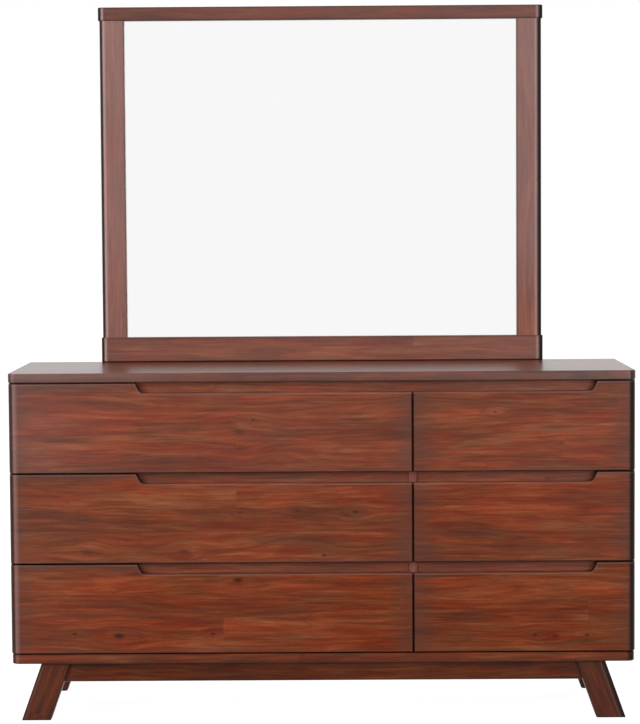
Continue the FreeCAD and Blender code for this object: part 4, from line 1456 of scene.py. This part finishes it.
    def set_of(self, name: str, body: str, places: np.ndarray, out: np.ndarray, kind: Head) -> None:
        """Makes a row of like heads as one piece.

        The head's grid is turned to stand out of the board and set at each place. Bands of quads join its
        rings, and fans of triangles close the pole and the flat foot, which is sunk into the board.

        Args:
            name: the piece.
            body: the body that it rides on.
            places: the middle of each head on its board, in metres.
            out: the way that the heads stand out of the board.
            kind: the size of a head.
        """
        points, pole = self.head(kind)
        up = np.array([0.0, 0.0, 1.0])
        axes = np.stack([np.cross(up, out), up, out])
        sunk = np.array([0.0, 0.0, -self.sunk * kind.rise])
        foot = points[-1] * (1.0, 1.0, 0.0) + sunk
        shape = np.concatenate([pole[None, :], points.reshape(-1, 3), foot, sunk[None, :]])
        vertices = (places[:, None, :] + (shape @ axes)[None, :, :]).reshape(-1, 3)
        count, turns = len(shape), self.turns
        ring = np.arange(turns)
        following = (ring + 1) % turns
        bands = np.arange(self.rings)[:, None] * turns + 1
        corners = (bands + ring, bands + turns + ring, bands + turns + following, bands + following)
        quads = np.stack(corners, axis=-1).reshape(-1, 4)
        cap = np.stack([np.zeros(turns, int), 1 + ring, 1 + following], axis=-1)
        last = 1 + self.rings * turns
        base = np.stack([np.full(turns, count - 1), last + following, last + ring], axis=-1)
        faces = []
        for start in range(0, count * len(places), count):
            for part in (quads, cap, base):
                faces += (part + start).tolist()
        mesh = bpy.data.meshes.new(name)
        mesh.from_pydata(vertices.tolist(), [], faces)
        mesh.materials.append(self.steel.material(name))
        mesh.polygons.foreach_set("use_smooth", np.ones(len(mesh.polygons), bool))
        piece = bpy.data.objects.new(name, mesh)
        bpy.context.scene.collection.objects.link(piece)
        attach(piece, body)
        LOG.info("%s: %d heads on %s", name, len(places), body)


@dataclass(frozen=True)
class Lamp:
    """A soft rectangular lamp: its place and size in metres, its watts, and whether gloss shows it."""

    name: str
    place: tuple[float, float, float]
    wide: float
    high: float
    power: float
    in_gloss: bool = False


# Their watts light the dresser at a level at which a colour renders about as it is written.
LAMPS = (
    Lamp("key", (-3.0, -5.4, 2.6), 3.6, 3.2, 274.0),
    Lamp("fill", (2.5, -5.8, 1.4), 2.0, 1.8, 120.0, in_gloss=True),
    Lamp("overhead", (-0.8, -2.4, 4.4), 2.2, 2.2, 20.0),
    Lamp("rear_left", (-4.2, 4.6, 2.4), 2.4, 2.4, 145.0),
    Lamp("rear_right", (4.2, 4.6, 2.4), 2.4, 2.4, 145.0),
)


@dataclass
class Studio:
    """The floor, the light and the camera.

    Attributes:
        floor_radius: how far the floor reaches, in metres.
        floor_matt, floor_pale: how much light it throws back onto the dresser and to the eye.
        glow_start, glow_end: how far out its glow to the eye starts to grow and is full, in metres.
        glow_near, glow_far: the glow's strength there.
        wall_level, wall_right: the light of the wall behind, and the share of it that is left on the
            right.
        room: the tint of the matt light.
        front_level, ceiling_level, left_level, right_level: the light of the room from each side.
        aim: what the lamps point at.
        eye, yaw, pitch, roll: the camera's place in metres and its turns in radians.
        focal_pixels, frame_height: its focal length and the picture's height, in pixels.
        sensor: the longer side of its sensor, which is the picture's height, in millimetres.
    """

    floor_radius: float = 30.0
    floor_matt: float = 0.14
    floor_pale: float = 0.25
    glow_start: float = 1.2
    glow_end: float = 3.0
    glow_near: float = 0.93
    glow_far: float = 1.02
    wall_level: float = 0.92
    wall_right: float = 0.80
    room: Colour = (1.0, 0.93, 0.90)
    front_level: float = 0.12
    ceiling_level: float = 0.35
    left_level: float = 0.20
    right_level: float = 0.04
    aim: Vector = field(default_factory=lambda: Vector((0.0, -0.1, 0.75)))
    eye: Vector = field(default_factory=lambda: Vector((0.035007, -6.077386, 1.229270)))
    yaw: float = -0.00649
    pitch: float = 0.06242
    roll: float = 0.00651
    focal_pixels: float = 2455.017
    frame_height: int = 724
    sensor: float = 36.0

    def build(self) -> None:
        """Builds the studio."""
        self.floor()
        self.world()
        self.lamps()
        self.camera()
        bpy.context.scene.view_settings.view_transform = "Standard"

    def floor(self) -> None:
        """A round pale floor."""
        turns = np.linspace(0, 2 * math.pi, 96, endpoint=False)
        rim = np.stack([np.cos(turns), np.sin(turns), np.zeros_like(turns)], axis=1) * self.floor_radius
        mesh = bpy.data.meshes.new("floor")
        mesh.from_pydata(rim.tolist(), [], [list(range(len(rim)))])
        floor = bpy.data.objects.new("floor", mesh)
        bpy.context.scene.collection.objects.link(floor)
        mesh.materials.append(self.floor_material())

    def floor_material(self) -> bpy.types.Material:
        """Dim to the light that it throws back, white with a faint shadow to the eye, white to gloss.

        Its glow to the eye grows with the distance from the dresser, so that the far floor is white.

        Returns:
            The finished material.
        """
        graph = Graph.of_material("studio_floor")
        path = graph.node("ShaderNodeLightPath").outputs
        matt = graph.shader("ShaderNodeBsdfDiffuse", Color=(self.floor_matt,) * 3)
        pale = graph.shader("ShaderNodeBsdfDiffuse", Color=(self.floor_pale,) * 3)
        east, north, _ = graph.split(graph.place())
        level = graph.span(
            graph.length(east, north), self.glow_start, self.glow_end, self.glow_near, self.glow_far,
        )
        seen = graph.node("ShaderNodeAddShader")
        graph.feed(seen.inputs[0], pale)
        graph.feed(seen.inputs[1], graph.shader("ShaderNodeEmission", Strength=level))
        to_eye = graph.choose(path["Is Camera Ray"], matt, seen.outputs[0])
        white = graph.shader("ShaderNodeEmission", Strength=1.0)
        graph.finish(graph.choose(graph.bounced(path), to_eye, white))
        return graph.holder

    def world(self) -> None:
        """White to the eye, to gloss and to glass. To matt light a dim room with a pale wall behind.

        The light follows the way that a ray leaves: a pale wall where it goes back, duller to the right,
        a dim room ahead, a brighter left side than right side and a pale ceiling.
        """
        world = bpy.data.worlds.new("studio")
        bpy.context.scene.world = world
        graph = Graph(world)
        path = graph.node("ShaderNodeLightPath").outputs
        right, back, up = graph.split(graph.node("ShaderNodeTexCoord").outputs["Generated"])
        wall = graph.times(
            graph.span(back, 0.70, 0.92, 0.0, self.wall_level),
            graph.span(right, -0.15, 0.15, 1.0, self.wall_right),
        )
        front = graph.times(
            graph.span(back, -0.2, -0.8, 0.0, self.front_level), graph.span(up, -0.1, 0.3),
        )
        ceiling = graph.span(up, 0.25, 1.0, 0.0, self.ceiling_level)
        side = graph.span(right, -1.0, 1.0, self.left_level, self.right_level)
        level = graph.plus(graph.plus(wall, front), graph.plus(side, ceiling))
        seen = graph.math("MAXIMUM", path["Is Camera Ray"], graph.bounced(path))
        background = graph.shader(
            "ShaderNodeBackground",
            Color=graph.mix(seen, self.room, (1.0, 1.0, 1.0)),
            Strength=graph.plus(graph.times(level, graph.minus(1.0, seen)), seen),
        )
        graph.finish(background, "ShaderNodeOutputWorld")

    def lamps(self) -> None:
        """A wide soft lamp to the left of the camera, weaker ones to the right and overhead, two behind.

        They stand where the mirror doesn't show them to the camera. Only the fill is seen in gloss, so
        that the others leave no glare on the polished top.
        """
        for lamp in LAMPS:
            light = bpy.data.lights.new(lamp.name, "AREA")
            light.energy = lamp.power
            light.shape = "RECTANGLE"
            light.size = lamp.wide
            light.size_y = lamp.high
            holder = bpy.data.objects.new(lamp.name, light)
            holder.location = lamp.place
            holder.rotation_mode = "QUATERNION"
            holder.rotation_quaternion = (self.aim - Vector(lamp.place)).to_track_quat("-Z", "Y")
            holder.visible_glossy = lamp.in_gloss
            bpy.context.scene.collection.objects.link(holder)

    def camera(self) -> None:
        """The camera where the photograph was taken.

        Its axes come from yaw, pitch and roll: forward, right and down, the last two turned by roll.
        """
        forward = np.array([
            math.sin(self.yaw) * math.cos(self.pitch),
            math.cos(self.yaw) * math.cos(self.pitch),
            -math.sin(self.pitch),
        ])
        level = np.array([math.cos(self.yaw), -math.sin(self.yaw), 0.0])
        plumb = np.cross(forward, level)
        right = math.cos(self.roll) * level + math.sin(self.roll) * plumb
        down = math.cos(self.roll) * plumb - math.sin(self.roll) * level
        lens = bpy.data.cameras.new("camera")
        lens.sensor_width = self.sensor
        lens.lens = self.focal_pixels / self.frame_height * self.sensor
        holder = bpy.data.objects.new("camera", lens)
        axes = np.eye(4)
        axes[:3, 0], axes[:3, 1], axes[:3, 2], axes[:3, 3] = right, -down, -forward, self.eye
        holder.matrix_world = Matrix(axes.tolist())
        bpy.context.scene.collection.objects.link(holder)
        bpy.context.scene.camera = holder


def main() -> None:
    """Builds the sub-assemblies in order."""
    logging.basicConfig(level=logging.INFO, format="%(name)s: %(message)s")
    Carcass().build()
    Base().build()
    for row in Row:
        for bank in Bank:
            Drawer(row, bank).build()
    dress("slide_case_members", BrightSteel().material("slide_case_members"))
    dress("front_pads", Felt().material("front_pads"))
    Mirror().build()
    Fasteners().build()
    Studio().build()


if __name__ == "__main__":
    main()
